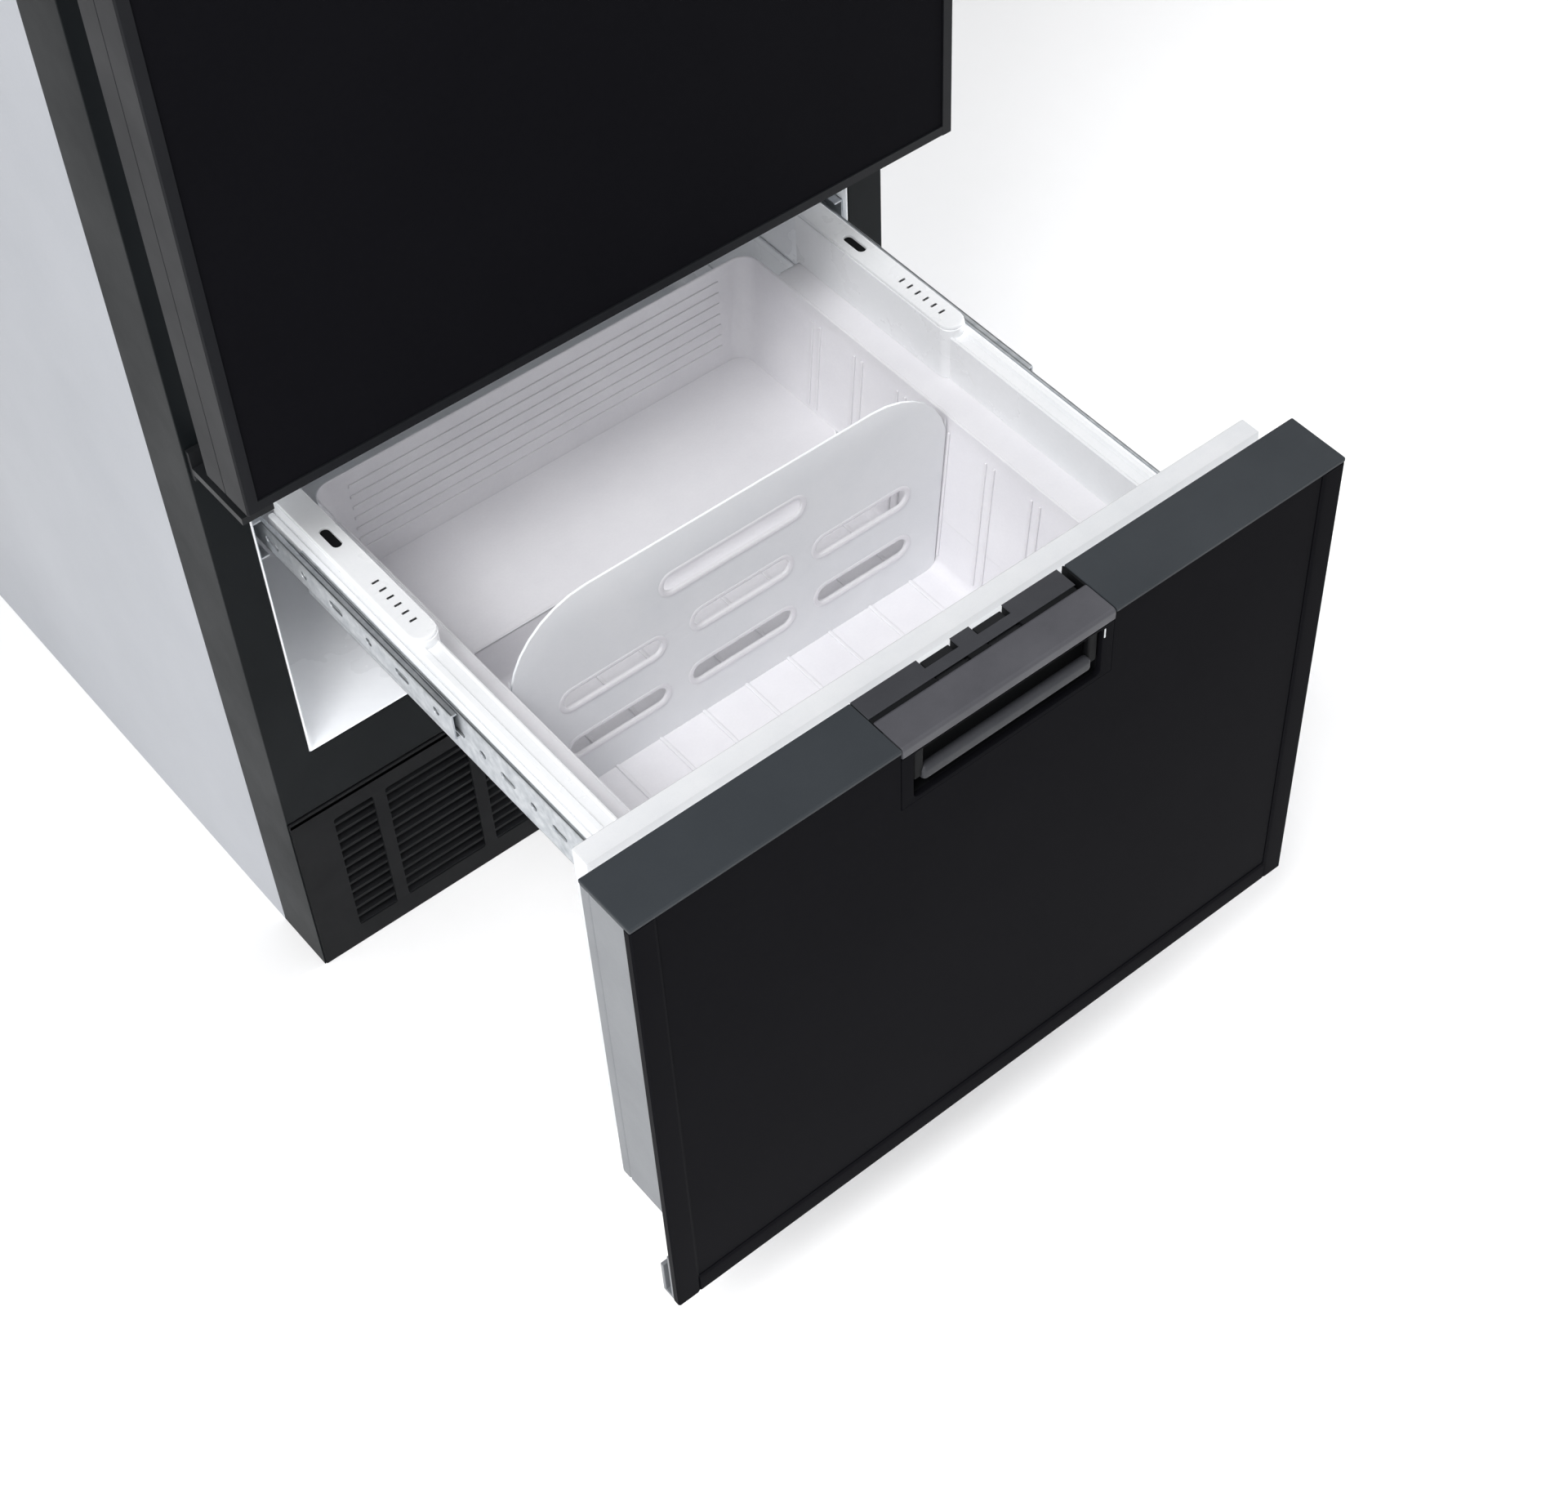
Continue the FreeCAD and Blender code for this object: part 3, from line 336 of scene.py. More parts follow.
# Frosty white polystyrene basket: light scatters a little below its surface.
FROSTED_STYRENE = surface("frosted_white_styrene", ("#efeef1", "#e5e4e8"), (0.28, 0.4),
                          drift=70, grain=2.0, depth=0.015, ior=1.59, subsurface_weight=0.15,
                          subsurface_radius=(1.0, 1.0, 1.0), subsurface_scale=3 * MM)
# Natural polypropylene divider: greyish, slightly see-through, matt.
NATURAL_POLYPROPYLENE = surface("natural_polypropylene", ("#f8f9fb", "#f0f2f5"), (0.36, 0.46),
                                drift=60, grain=1.6, depth=0.015, ior=1.49,
                                transmission_weight=0.08)
# Galvanised steel: grey metal broken into pale and dark zinc spangle, about 6 mm across.
GALVANISED = surface("galvanised_steel", ("#d4d7da", "#acb1b6"), (0.44, 0.6), drift=9,
                     grain=6.0, depth=0.01, cells=True, metallic=1.0)
# Soft seal: milky white vinyl without shine.
SEAL_VINYL = surface("white_seal_vinyl", ("#dcdddf", "#d0d2d5"), (0.6, 0.75),
                     drift=40, grain=0.7, depth=0.02, ior=1.52)
# Glass-filled black nylon of the latch: dull, with a fine fibrous grain.
LATCH_NYLON = surface("glass_filled_black_nylon", ("#151618", "#0f1011"), (0.48, 0.62),
                      drift=30, grain=0.6, depth=0.02, cells=True, specular_ior_level=0.08)
# Charcoal nylon of the strip behind the handle plate.
STRIP_NYLON = surface("charcoal_nylon", ("#3b3c40", "#323337"), (0.45, 0.58),
                      drift=30, grain=0.7, depth=0.02, specular_ior_level=0.25)
# Grey nylon handle plate, its roughness drifting in a soft mottle.
LEVER_NYLON = surface("grey_lever_nylon", ("#505055", "#45454a"), (0.38, 0.52),
                      drift=35, grain=0.8, depth=0.015, specular_ior_level=0.3)
# Drawn copper pipe, dulled by handling.
COPPER = surface("drawn_copper", ("#c98a62", "#9a6040"), (0.28, 0.48),
                 drift=25, grain=1.5, depth=0.01, metallic=1.0)
# Aluminium fin stock: bright rolled sheet, fine lines along its length.
FIN_ALUMINIUM = surface("rolled_aluminium", ("#d9dbdd", "#c2c5c8"), (0.25, 0.4), drift=30,
                        grain=0.6, depth=0.01, stretch=(1.0, 12.0, 1.0), metallic=1.0)
# Sand-cast aluminium of the ice mould: dull grey with a coarse pitted skin.
CAST_ALUMINIUM = surface("cast_aluminium", ("#b9bcbf", "#9fa2a5"), (0.42, 0.58), drift=25,
                         grain=0.9, depth=0.05, cells=True, metallic=1.0)
# Black stove enamel on the compressor shell, with an even dip sheen.
BLACK_ENAMEL = surface("black_dip_enamel", ("#161617", "#101011"), (0.18, 0.3),
                       drift=70, grain=4.0, depth=0.03, ior=1.5, coat_weight=0.4)
# Toughened float glass, a trace of green.
SHELF_GLASS = surface("toughened_glass", ("#e6f2ee", "#dcebe6"), (0.02, 0.05),
                      drift=300, grain=20, depth=0.001, ior=1.52, transmission_weight=0.95)
# Clear moulded polystyrene of the door bins: see-through with a faint blue edge.
CLEAR_STYRENE = surface("clear_polystyrene", ("#e8eef2", "#dde6ec"), (0.06, 0.12),
                        drift=120, grain=8, depth=0.004, ior=1.59, transmission_weight=0.8)
# Polyurethane foam, tan with a fine cell structure.
FOAM = surface("polyurethane_foam", ("#e2cf94", "#cdb877"), (0.8, 0.92),
               drift=30, grain=1.2, depth=0.25, cells=True)
# Chromed spring wire: sharp bright highlights along its length.
CHROMED_WIRE = surface("chromed_wire", ("#d7d9db", "#c6c9cc"), (0.08, 0.16),
                       drift=20, grain=2.0, depth=0.003, metallic=1.0)
# Natural nylon of the valve and ejector: warm off-white, waxy sheen.
WHITE_NYLON = surface("natural_nylon", ("#ecebe4", "#dfded6"), (0.35, 0.48),
                      drift=25, grain=0.8, depth=0.015, ior=1.53)
# Painted hinge steel, satin black with softened edges.
HINGE_STEEL = surface("black_hinge_steel", ("#1d1e20", "#161719"), (0.36, 0.5),
                      drift=30, grain=1.2, depth=0.02, specular_ior_level=0.2)
# Painted shade: a dull near-black on thin pieces in slots and recesses, standing for the shade
# that falls there.
PAINTED_RECESS_SHADE = surface("painted_recess_shade_black", ("#141416", "#0f0f11"), (0.6, 0.7),
                      drift=30, grain=0.8, depth=0.01, specular_ior_level=0.1)


# -------------------- cabinet

def cabinet_front():
    """The black ring round both openings, with its strips folded back over the sides."""
    low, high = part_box("front_frame")
    mesh = bmesh.new()
    rings = [rectangle(low.x, high.x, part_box("base_grille")[1].z, high.z, 1 * MM)]
    for liner in ("freezer_liner", "fridge_liner"):
        inner_low, inner_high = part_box(liner)
        rings.append(rectangle(inner_low.x, inner_high.x, inner_low.z, inner_high.z, 1.5 * MM))
    plate(mesh, rings, "y", low.y, low.y + 2 * MM, 0.9 * MM)
    sheet, folded = 1 * MM, low.y + 1 * MM
    pair(mesh, (high.x - sheet, high.x), (folded, high.y), (low.z, high.z), 0.45 * MM)
    block(mesh, (low.x + sheet, folded, high.z - sheet), (high.x - sheet, high.y, high.z),
          0.45 * MM, "x")
    piece("front_frame_ring", mesh, BLACK_FRAME, CABINET, "front_frame")


def louvred_grille():
    """A moulded frame with seven windows, each crossed by slanted blades."""
    low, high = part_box("base_grille")
    field_low, field_high, field_x = 22 * MM, 161 * MM, 262 * MM
    bar_half, bar_pitch, blade_pitch = 6 * MM, 88 * MM, 11 * MM
    edges = [-field_x]
    for index in range(-3, 3):
        middle = bar_pitch * (index + 0.5)
        edges += [middle - bar_half, middle + bar_half]
    edges.append(field_x)
    windows = list(zip(edges[0::2], edges[1::2]))
    face = bmesh.new()
    rings = [rectangle(low.x, high.x, low.z, high.z - 2 * MM, 1.5 * MM)]
    rings += [rectangle(x0, x1, field_low, field_high, 2 * MM) for x0, x1 in windows]
    plate(face, rings, "y", low.y, low.y + 3 * MM, 0.8 * MM)
    for x0, x1 in windows[:-1]:
        block(face, (x1 + 2 * MM, low.y + 2 * MM, field_low), (x1 + 10 * MM, high.y, field_high),
              1 * MM)
    piece("grille_face", face, BLACK_ABS, CABINET, "base_grille")
    lip = bmesh.new()
    top = high.z - 0.6 * MM
    section = [(low.y, top - 8 * MM), (low.y + 6 * MM, top - 8 * MM), (low.y + 6 * MM, top),
               (low.y + 4.5 * MM, top), (low.y, top - 4.5 * MM)]
    bar(lip, section, "x", low.x, high.x, 0.6 * MM)
    piece("grille_top_lip", lip, DARK_EDGE_ABS, CABINET)
    blades = bmesh.new()
    for number in range(round((field_high - field_low) / blade_pitch)):
        z = field_low + number * blade_pitch
        slat = [
            (low.y + 0.8 * MM, z - 1.6 * MM), (low.y + 9 * MM, z + 3.4 * MM),
            (low.y + 9 * MM, z + 5.2 * MM), (low.y + 0.8 * MM, z + 1.4 * MM),
        ]
        for x0, x1 in windows:
            bar(blades, slat, "x", x0 - 1 * MM, x1 + 1 * MM, 0.3 * MM, 1)
    piece("grille_blades", blades, BLACK_ABS, CABINET)


def freezer_liner():
    """One vacuum-formed tub lying on its back, with the step over the compressor."""
    low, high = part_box("freezer_liner")
    wall, step_y, step_z = 2 * MM, 30 * MM, 342 * MM
    mesh = bmesh.new()
    tub(mesh, (low.x, high.x, low.z, high.z), "y", high.y, low.y + 0.3 * MM, wall, 10 * MM,
        12 * MM, 1.5 * MM)
    block(mesh, (low.x + wall, step_y, low.z + wall), (high.x - wall, high.y - wall, step_z),
          6 * MM, "x")
    inner, rib_half = high.x - wall, 4 * MM
    for z in (300 * MM, 380 * MM):
        pair(mesh, (inner - 2.5 * MM, inner), (-270 * MM, 20 * MM), (z - rib_half, z + rib_half),
             1.1 * MM, "y")
    piece("freezer_liner_tub", mesh, WHITE_LINER, CABINET, "freezer_liner")


def fridge_interior():
    """The upper liner with its shelf ledges, glass shelves, their edging and a lamp."""
    low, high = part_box("fridge_liner")
    wall = 2 * MM
    mesh = bmesh.new()
    tub(mesh, (low.x, high.x, low.z, high.z), "y", high.y, low.y + 0.3 * MM, wall, 12 * MM,
        14 * MM, 1.5 * MM)
    for shelf in ("shelf_lower", "shelf_upper"):
        shelf_low, shelf_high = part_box(shelf)
        pair(mesh, (high.x - 8 * MM, high.x - 1 * MM), (shelf_low.y, shelf_high.y),
             (shelf_low.z - 6 * MM, shelf_low.z), 1.2 * MM, "y")
        glass = bmesh.new()
        block(glass, shelf_low, shelf_high, 1.4 * MM)
        piece(shelf + "_pane", glass, SHELF_GLASS, CABINET, shelf)
        edging = bmesh.new()
        front = rectangle(shelf_low.y - 6 * MM, shelf_low.y + 6 * MM, shelf_low.z - 5 * MM,
                          shelf_high.z + 3 * MM, 3 * MM)
        bar(edging, front, "x", shelf_low.x + 1 * MM, shelf_high.x - 1 * MM, 2 * MM)
        piece(shelf + "_edging", edging, WHITE_ABS, CABINET)
    lamp = bmesh.new()
    block(lamp, (-60 * MM, -130 * MM, high.z - 14 * MM), (60 * MM, -60 * MM, high.z - wall),
          5 * MM)
    piece("lamp_lens", lamp, CLEAR_STYRENE, CABINET)
    piece("fridge_liner_tub", mesh, WHITE_LINER, CABINET, "fridge_liner")


def hinge_screws():
    """The screws of both hinge plates."""
    heads, slots = bmesh.new(), bmesh.new()
    low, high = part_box("hinge_screws")
    radius = 4.5 * MM
    for x in (low.x + radius, high.x - radius):
        for z in (low.z + radius, high.z - radius):
            pan_head(heads, slots, "y", (x, z), high.y - 0.4 * MM, -1, radius)
    piece("hinge_screw_heads", heads, GALVANISED, CABINET, "hinge_screws")
    # Painted shade in the screws' cross recesses.
    piece("hinge_screw_recess_shade", slots, PAINTED_RECESS_SHADE, CABINET)


def compressor():
    """A pressed shell with a welded belt on its foot plate, a terminal cover and rubber feet."""
    low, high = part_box("compressor")
    x, y = (low.x + high.x) / 2, 190 * MM
    shell = bmesh.new()
    radius = 68 * MM
    profile = [(2 * MM, 16), (radius - 18 * MM, 17), (radius - 6 * MM, 24), (radius, 36),
               (radius, 90), (radius + 4 * MM, 92), (radius + 4 * MM, 98), (radius, 100),
               (radius, 140), (radius - 4 * MM, 156), (radius - 16 * MM, 172),
               (radius - 40 * MM, 182), (2 * MM, 184)]
    turned(shell, "z", (x, y), [(r, z * MM) for r, z in profile], 64)
    block(shell, (low.x, y - 55 * MM, 13 * MM), (high.x, y + 55 * MM, 16 * MM), 1.2 * MM)
    piece("compressor_shell", shell, BLACK_ENAMEL, CABINET, "compressor")
    cover = bmesh.new()
    block(cover, (x - 20 * MM, y + 62 * MM, 70 * MM), (x + 20 * MM, y + 88 * MM, 120 * MM),
          4 * MM)
    piece("compressor_terminal_cover", cover, BLACK_ABS, CABINET)
    feet = bmesh.new()
    grommet = [(9, 2), (9, 5), (6.5, 6.5), (6.5, 10), (9, 11.5), (9, 13)]
    for foot_x in (-82, 82):
        for foot_y in (-42, 42):
            centre = (x + foot_x * MM, y + foot_y * MM)
            turned(feet, "z", centre, [(r * MM, z * MM) for r, z in grommet], 24)
    piece("compressor_grommets", feet, SEAL_VINYL, CABINET)


def rear_panel():
    """The back sheet with a folded border, shallow pressed beads and its screws."""
    low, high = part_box("back_panel")
    face, flange, bead, screw = high.y - 0.6 * MM, 16 * MM, 9 * MM, 3.2 * MM
    sheet = bmesh.new()
    block(sheet, (low.x, low.y + 0.05 * MM, low.z), (high.x, face, high.z), 0.15 * MM, "y")
    middle = (low.z + high.z) / 2
    for shift in (-420, -140, 140, 420):
        z = middle + shift * MM
        outline = rectangle(low.x + 60 * MM, high.x - 60 * MM, z - bead, z + bead, bead - 0.2 * MM)
        bar(sheet, outline, "y", low.y + 0.1 * MM, high.y, 0.4 * MM)
    rings = [rectangle(low.x, high.x, low.z, high.z, 1 * MM),
             rectangle(low.x + flange, high.x - flange, low.z + flange, high.z - flange, 2 * MM)]
    plate(sheet, rings, "y", face - 0.2 * MM, face + 0.3 * MM, 0.1 * MM)
    piece("back_panel_sheet", sheet, PAINTED_STEEL, CABINET, "back_panel")
    heads, slots = bmesh.new(), bmesh.new()
    for step in range(5):
        z = low.z + flange / 2 + (high.z - low.z - flange) * step / 4
        for x in (low.x + flange / 2, high.x - flange / 2):
            pan_head(heads, slots, "y", (x, z), high.y - 0.45 * screw, 1, screw)
    piece("back_panel_screws", heads, GALVANISED, CABINET)
    # Painted shade in the screws' cross recesses.
    piece("back_panel_screw_recess_shade", slots, PAINTED_RECESS_SHADE, CABINET)


def control_box():
    """A moulded box with a lipped lid, cooling slots drawn as thin strips of painted shade, and
    four lid screws.
    """
    low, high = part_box("control_box")
    lid_y = high.y - 14 * MM
    shell = bmesh.new()
    block(shell, low, (high.x, lid_y - 0.8 * MM, high.z), 3 * MM)
    block(shell, (low.x + 1.5 * MM, lid_y - 2 * MM, low.z + 1.5 * MM),
          (high.x - 1.5 * MM, lid_y + 1 * MM, high.z - 1.5 * MM), 1.2 * MM)
    piece("control_box_shell", shell, BLACK_ABS, CABINET, "control_box")
    lid, slots, heads = bmesh.new(), bmesh.new(), bmesh.new()
    block(lid, (low.x, lid_y, low.z), (high.x, high.y - 1.4 * MM, high.z), 3 * MM)
    # The cooling slots are not cut: each is a thin strip just proud of the lid, in painted shade.
    for number in range(6):
        x = low.x + 18 * MM + number * 7 * MM
        block(slots, (x, high.y - 2 * MM, high.z - 34 * MM),
              (x + 2.6 * MM, high.y - 1.2 * MM, high.z - 14 * MM), 0.2 * MM, "y")
    for x in (low.x + 7 * MM, high.x - 7 * MM):
        for z in (low.z + 7 * MM, high.z - 7 * MM):
            pan_head(heads, slots, "y", (x, z), high.y - 1.4 * MM, 1, 2.6 * MM)
    piece("control_box_lid", lid, BLACK_ABS, CABINET)
    piece("control_box_slot_shade", slots, PAINTED_RECESS_SHADE, CABINET)
    piece("control_box_screws", heads, GALVANISED, CABINET)


# -------------------- latch

# The drawer's latch; the refrigerator door has the same one, turned on its side.
LATCH_FRONT, LATCH_HALF = -785 * MM, 90 * MM
LATCH_FOOT, LATCH_STEP, LATCH_TOP = 500 * MM, 541 * MM, 561 * MM
POCKET_HALF, POCKET_FOOT, POCKET_TOP = 80 * MM, 504 * MM, 548 * MM


def behind(*depths):
    """Millimetres behind the latch's front, as places along y."""
    return tuple(LATCH_FRONT + depth * MM for depth in depths)


def latch_bezel():
    """The black rim of the finger pocket."""
    mesh = bmesh.new()
    rings = (rectangle(-LATCH_HALF, LATCH_HALF, LATCH_FOOT, 550 * MM, 1 * MM),
             rectangle(-POCKET_HALF, POCKET_HALF, POCKET_FOOT, POCKET_TOP, 4 * MM, 4))
    plate(mesh, rings, "y", *behind(1.3, 6), 0.6 * MM)
    return mesh


def latch_case():
    """Pocket walls, and above its step the cheeks and blocks that leave the claw slots free."""
    mesh = bmesh.new()
    block(mesh, (-LATCH_HALF, *behind(19), LATCH_FOOT), (LATCH_HALF, *behind(40), 545 * MM),
          1 * MM, "x")
    block(mesh, (-LATCH_HALF, *behind(5), LATCH_FOOT), (LATCH_HALF, *behind(20), POCKET_FOOT),
          1 * MM, "x")
    pair(mesh, (POCKET_HALF, LATCH_HALF), behind(5, 20), (LATCH_FOOT, 551 * MM), 1 * MM)
    pair(mesh, (88.5 * MM, LATCH_HALF), behind(19, 51), (LATCH_STEP, 560.4 * MM), 0.4 * MM)
    block(mesh, (-LATCH_HALF, *behind(37), LATCH_STEP), (LATCH_HALF, *behind(51), 544.9 * MM),
          1 * MM, "x")
    block(mesh, (1 * MM - LATCH_HALF, *behind(19), 544 * MM),
          (LATCH_HALF - 1 * MM, *behind(24), 556 * MM), 1 * MM, "x")
    for x0, x1 in ((-89, -36), (-8, 8), (36, 83)):
        block(mesh, (x0 * MM, *behind(23), 544 * MM), (x1 * MM, *behind(51), 560.2 * MM),
              1 * MM, "x")
    return mesh


def latch_strip():
    """The flush strip over the case, notched for both claws."""
    mesh = bmesh.new()
    notched = [(-90, 33), (84, 33), (84, 51), (36, 51), (36, 42), (8, 42), (8, 51), (-8, 51),
               (-8, 42), (-36, 42), (-36, 51), (-90, 51)]
    bar(mesh, [(u * MM, *behind(v)) for u, v in notched], "z", 560 * MM, LATCH_TOP, 0.45 * MM)
    return mesh


def latch_plate():
    """The handle plate over the pocket, with a rounded nose."""
    mesh = bmesh.new()
    end = LATCH_HALF - 0.3 * MM
    nose = rectangle(*behind(0, 30), 550.5 * MM, LATCH_TOP, 2.6 * MM)
    bar(mesh, nose, "x", -end, end, 0.8 * MM)
    return mesh


def lever_bar():
    """The bar that the fingers pull."""
    mesh = bmesh.new()
    section = rectangle(*behind(1, 9), 514 * MM, 526 * MM, 3.6 * MM)
    bar(mesh, section, "x", -72 * MM, 72 * MM, 3.4 * MM, 5)
    return mesh


def lever_legs():
    """The bar's legs, each with its pivot stub."""
    mesh = bmesh.new()
    pair(mesh, (70 * MM, 78 * MM), behind(3.5, 9), (518 * MM, 549 * MM), 1.4 * MM)
    for _, side in SIDES:
        x0, x1 = sorted((side * 77 * MM, side * 83 * MM))
        turned(mesh, "x", (*behind(6), 545 * MM),
               [(2.2 * MM, x0), (2.5 * MM, x0), (2.5 * MM, x1), (2.2 * MM, x1)], 20)
    return mesh


def lever_clip():
    """The bright wire clip beside the right pivot."""
    mesh = bmesh.new()
    profile = [(0.6, 538), (1, 538.4), (1, 546.6), (0.6, 547)]
    turned(mesh, "z", (82 * MM, *behind(2)), [(r * MM, z * MM) for r, z in profile], 16)
    return mesh


def latch_claws():
    """Two flat claws with turned-down tips on a common pivot."""
    mesh = bmesh.new()
    reach = (10 * MM, 34 * MM)
    pair(mesh, reach, behind(26, 50), (554 * MM, 558 * MM), 0.9 * MM)
    pair(mesh, reach, behind(44, 50), (553 * MM, 556 * MM), 0.7 * MM)
    pivot = [(1.3, -39), (1.5, -38.8), (1.5, 38.8), (1.3, 39)]
    turned(mesh, "x", (*behind(33), 556 * MM), [(r * MM, x * MM) for r, x in pivot], 16)
    return mesh


# The door's latch stands upright on the handle side, as far back as the drawer is out.
DOOR_LATCH_PLACE = (Matrix.Translation((-261 * MM, 403 * MM, 1085 * MM))
                    @ Matrix.Rotation(math.pi / 2, 4, "Y"))


def latch(owner, body, turn):
    """A whole latch, turned into its place."""
    lever, hook = f"{owner}_lever", f"{owner}_hook"
    members = (
        ("pocket_bezel", latch_bezel(), BLACK_SHEET, body),
        ("latch_case", latch_case(), LATCH_NYLON, body, f"{owner}_latch_housing"),
        ("latch_cover_strip", latch_strip(), STRIP_NYLON, body),
        ("handle_plate", latch_plate(), LEVER_NYLON, body),
        ("lever_bar", lever_bar(), STRIP_NYLON, lever, lever),
        ("lever_legs", lever_legs(), LATCH_NYLON, lever),
        ("lever_pin_clip", lever_clip(), CHROMED_WIRE, body),
        ("latch_claws", latch_claws(), HINGE_STEEL, hook, f"{owner}_latch_hook"),
    )
    for suffix, mesh, material, rides, *stands_for in members:
        mesh.transform(turn)
        piece(f"{owner}_{suffix}", mesh, material, rides, *stands_for)


# -------------------- refrigerator door

def seal(name, node, body):
    """A vinyl bellows ring, mitred and welded at its corners."""
    low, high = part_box(node)
    outline = rectangle(low.x, high.x, low.z, high.z)
    fold, wide = 3 * MM, 14 * MM
    half = [(0, low.y), (0, low.y + 5 * MM), (-fold, low.y + 8 * MM), (-fold, low.y + 11 * MM),
            (0, low.y + 14 * MM), (0, high.y - 1 * MM), (-1 * MM, high.y)]
    profile = half + [(-wide - out, at) for out, at in reversed(half)]
    mesh = bmesh.new()
    collar(mesh, outline, "y", profile)
    piece(name, mesh, SEAL_VINYL, body, node)


def door_edges(low, high, lip, case_low, case_high):
    """Dark trims round the door, left open at the latch."""
    mesh = bmesh.new()

    def edge(u, way):
        """A side profile with a front lip and a fine parting groove."""
        points = [(0, 1.2), (1.2, 0), (9, 0), (9, 51), (1.2, 51), (0, 49.8), (0, 27.4),
                  (0.4, 27), (0.4, 26.6), (0, 26.2)]
        return [(u + way * a * MM, low.y + b * MM) for a, b in points]

    bar(mesh, edge(low.x, 1), "z", low.z, high.z, 1 * MM)
    bar(mesh, edge(high.x, -1), "z", low.z, case_low.z, 1 * MM)
    bar(mesh, edge(high.x, -1), "z", case_high.z, high.z, 1 * MM)
    for z, way in ((low.z, 1), (high.z, -1)):
        profile = [(back, up) for up, back in edge(z, way)]
        bar(mesh, profile, "x", low.x + lip, high.x - lip, 0.2 * MM)
    piece("door_edge_trims", mesh, DARK_EDGE_ABS, DOOR, "door_core")


def refrigerator_door():
    """The upper door: dark edges, black sheet, white inner liner and its seal."""
    low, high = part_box("door_panel")
    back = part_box("door_gasket")[0].y
    case_low, case_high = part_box("door_latch_housing")
    lip, sheet_back = 9 * MM, low.y + 4 * MM
    door_edges(low, high, lip, case_low, case_high)

    x0, x1, z0, z1 = low.x + lip, high.x - lip, low.z + lip, high.z - lip
    notched = [(x0, z0), (x1, z0), (x1, case_low.z), (case_low.x, case_low.z),
               (case_low.x, case_high.z), (x1, case_high.z), (x1, z1), (x0, z1)]
    sheet = bmesh.new()
    bar(sheet, notched, "y", low.y + 1.2 * MM, sheet_back, 0.6 * MM)
    piece("door_front_sheet", sheet, BLACK_SHEET, DOOR, "door_panel")

    liner = bmesh.new()
    rim = back - 3 * MM
    bar(liner, notched, "y", sheet_back, rim, 0.5 * MM)
    bar(liner, rectangle(x0, x1, z0, z1, 2 * MM), "y", rim, back, 1 * MM)
    inner_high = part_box("door_core")[1].y
    for _, side in SIDES:
        rib_x0, rib_x1 = sorted((side * 227 * MM, side * 245 * MM))
        rib = rectangle(rib_x0, rib_x1, back - 2 * MM, inner_high, 6 * MM)
        bar(liner, rib, "z", low.z + 45 * MM, high.z - 62 * MM, 5 * MM)
    piece("door_inner_liner", liner, WHITE_LINER, DOOR)
    seal("door_seal_bellows", "door_gasket", DOOR)


def door_bins():
    """Two clear bins, each with a white rail along its front."""
    for name in ("door_bin_lower", "door_bin_upper"):
        bin_low, bin_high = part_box(name)
        mesh = bmesh.new()
        tub(mesh, (bin_low.x, bin_high.x, bin_low.y, bin_high.y), "z", bin_low.z, bin_high.z,
            2.4 * MM, 8 * MM, 14 * MM)
        piece(name + "_tub", mesh, CLEAR_STYRENE, DOOR, name)
        rail = bmesh.new()
        edge_line = rectangle(bin_high.y - 3 * MM, bin_high.y, bin_high.z - 14 * MM,
                              bin_high.z - 4 * MM, 1.2 * MM)
        bar(rail, edge_line, "x", bin_low.x + 16 * MM, bin_high.x - 16 * MM, 1 * MM)
        piece(name + "_rail", rail, WHITE_ABS, DOOR)


# -------------------- freezer drawer front

def drawer_front():
    """The black sheet held in a slim frame that is open at the top."""
    trim_low, trim_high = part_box("drawer_trim")
    case_low, case_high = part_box("drawer_latch_housing")
    wide = 20 * MM
    front, rear = trim_low.y, trim_high.y

    trim = bmesh.new()
    bead = [(0, 1.2), (1.2, 0), (17, 0), (19, 0.9), (20, 0.9), (20, 6), (0, 6)]
    for edge, way in ((trim_low.x, 1), (trim_high.x, -1)):
        upright = [(edge + way * a * MM, front + b * MM) for a, b in bead]
        bar(trim, upright, "z", trim_low.z, trim_high.z, 0.8 * MM)
    bottom = [(front + b * MM, trim_low.z + a * MM) for a, b in bead]
    bar(trim, bottom, "x", trim_low.x + wide - 0.2 * MM, trim_high.x - wide + 0.2 * MM, 0.1 * MM)
    piece("drawer_front_trim", trim, BLACK_SHEET, DRAWER, "drawer_trim")

    sheet = bmesh.new()
    outline = notched_rectangle(trim_high.x - wide, trim_low.z + wide, trim_high.z,
                                case_high.x, case_low.z)
    bar(sheet, outline, "y", front + 1.5 * MM, rear, 0.7 * MM)
    piece("drawer_front_sheet", sheet, BLACK_SHEET, DRAWER, "drawer_panel")


def drawer_body():
    """The grey insulated body: deep notch for the pocket, shallow one for the claws."""
    low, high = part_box("drawer_core")
    case_low, case_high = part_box("drawer_latch_housing")
    trim_low, trim_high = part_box("drawer_trim")
    joint = trim_low.y + 40 * MM
    mesh = bmesh.new()
    for floor_z, y0, y1, soft in ((case_low.z, trim_high.y, joint, 0.3 * MM),
                                  (LATCH_STEP, joint, high.y, 2.4 * MM)):
        outline = notched_rectangle(high.x, low.z, high.z, case_high.x, floor_z)
        bar(mesh, outline, "y", y0, y1, soft)
    piece("drawer_insulated_body", mesh, GREY_STYRENE, DRAWER, "drawer_core")


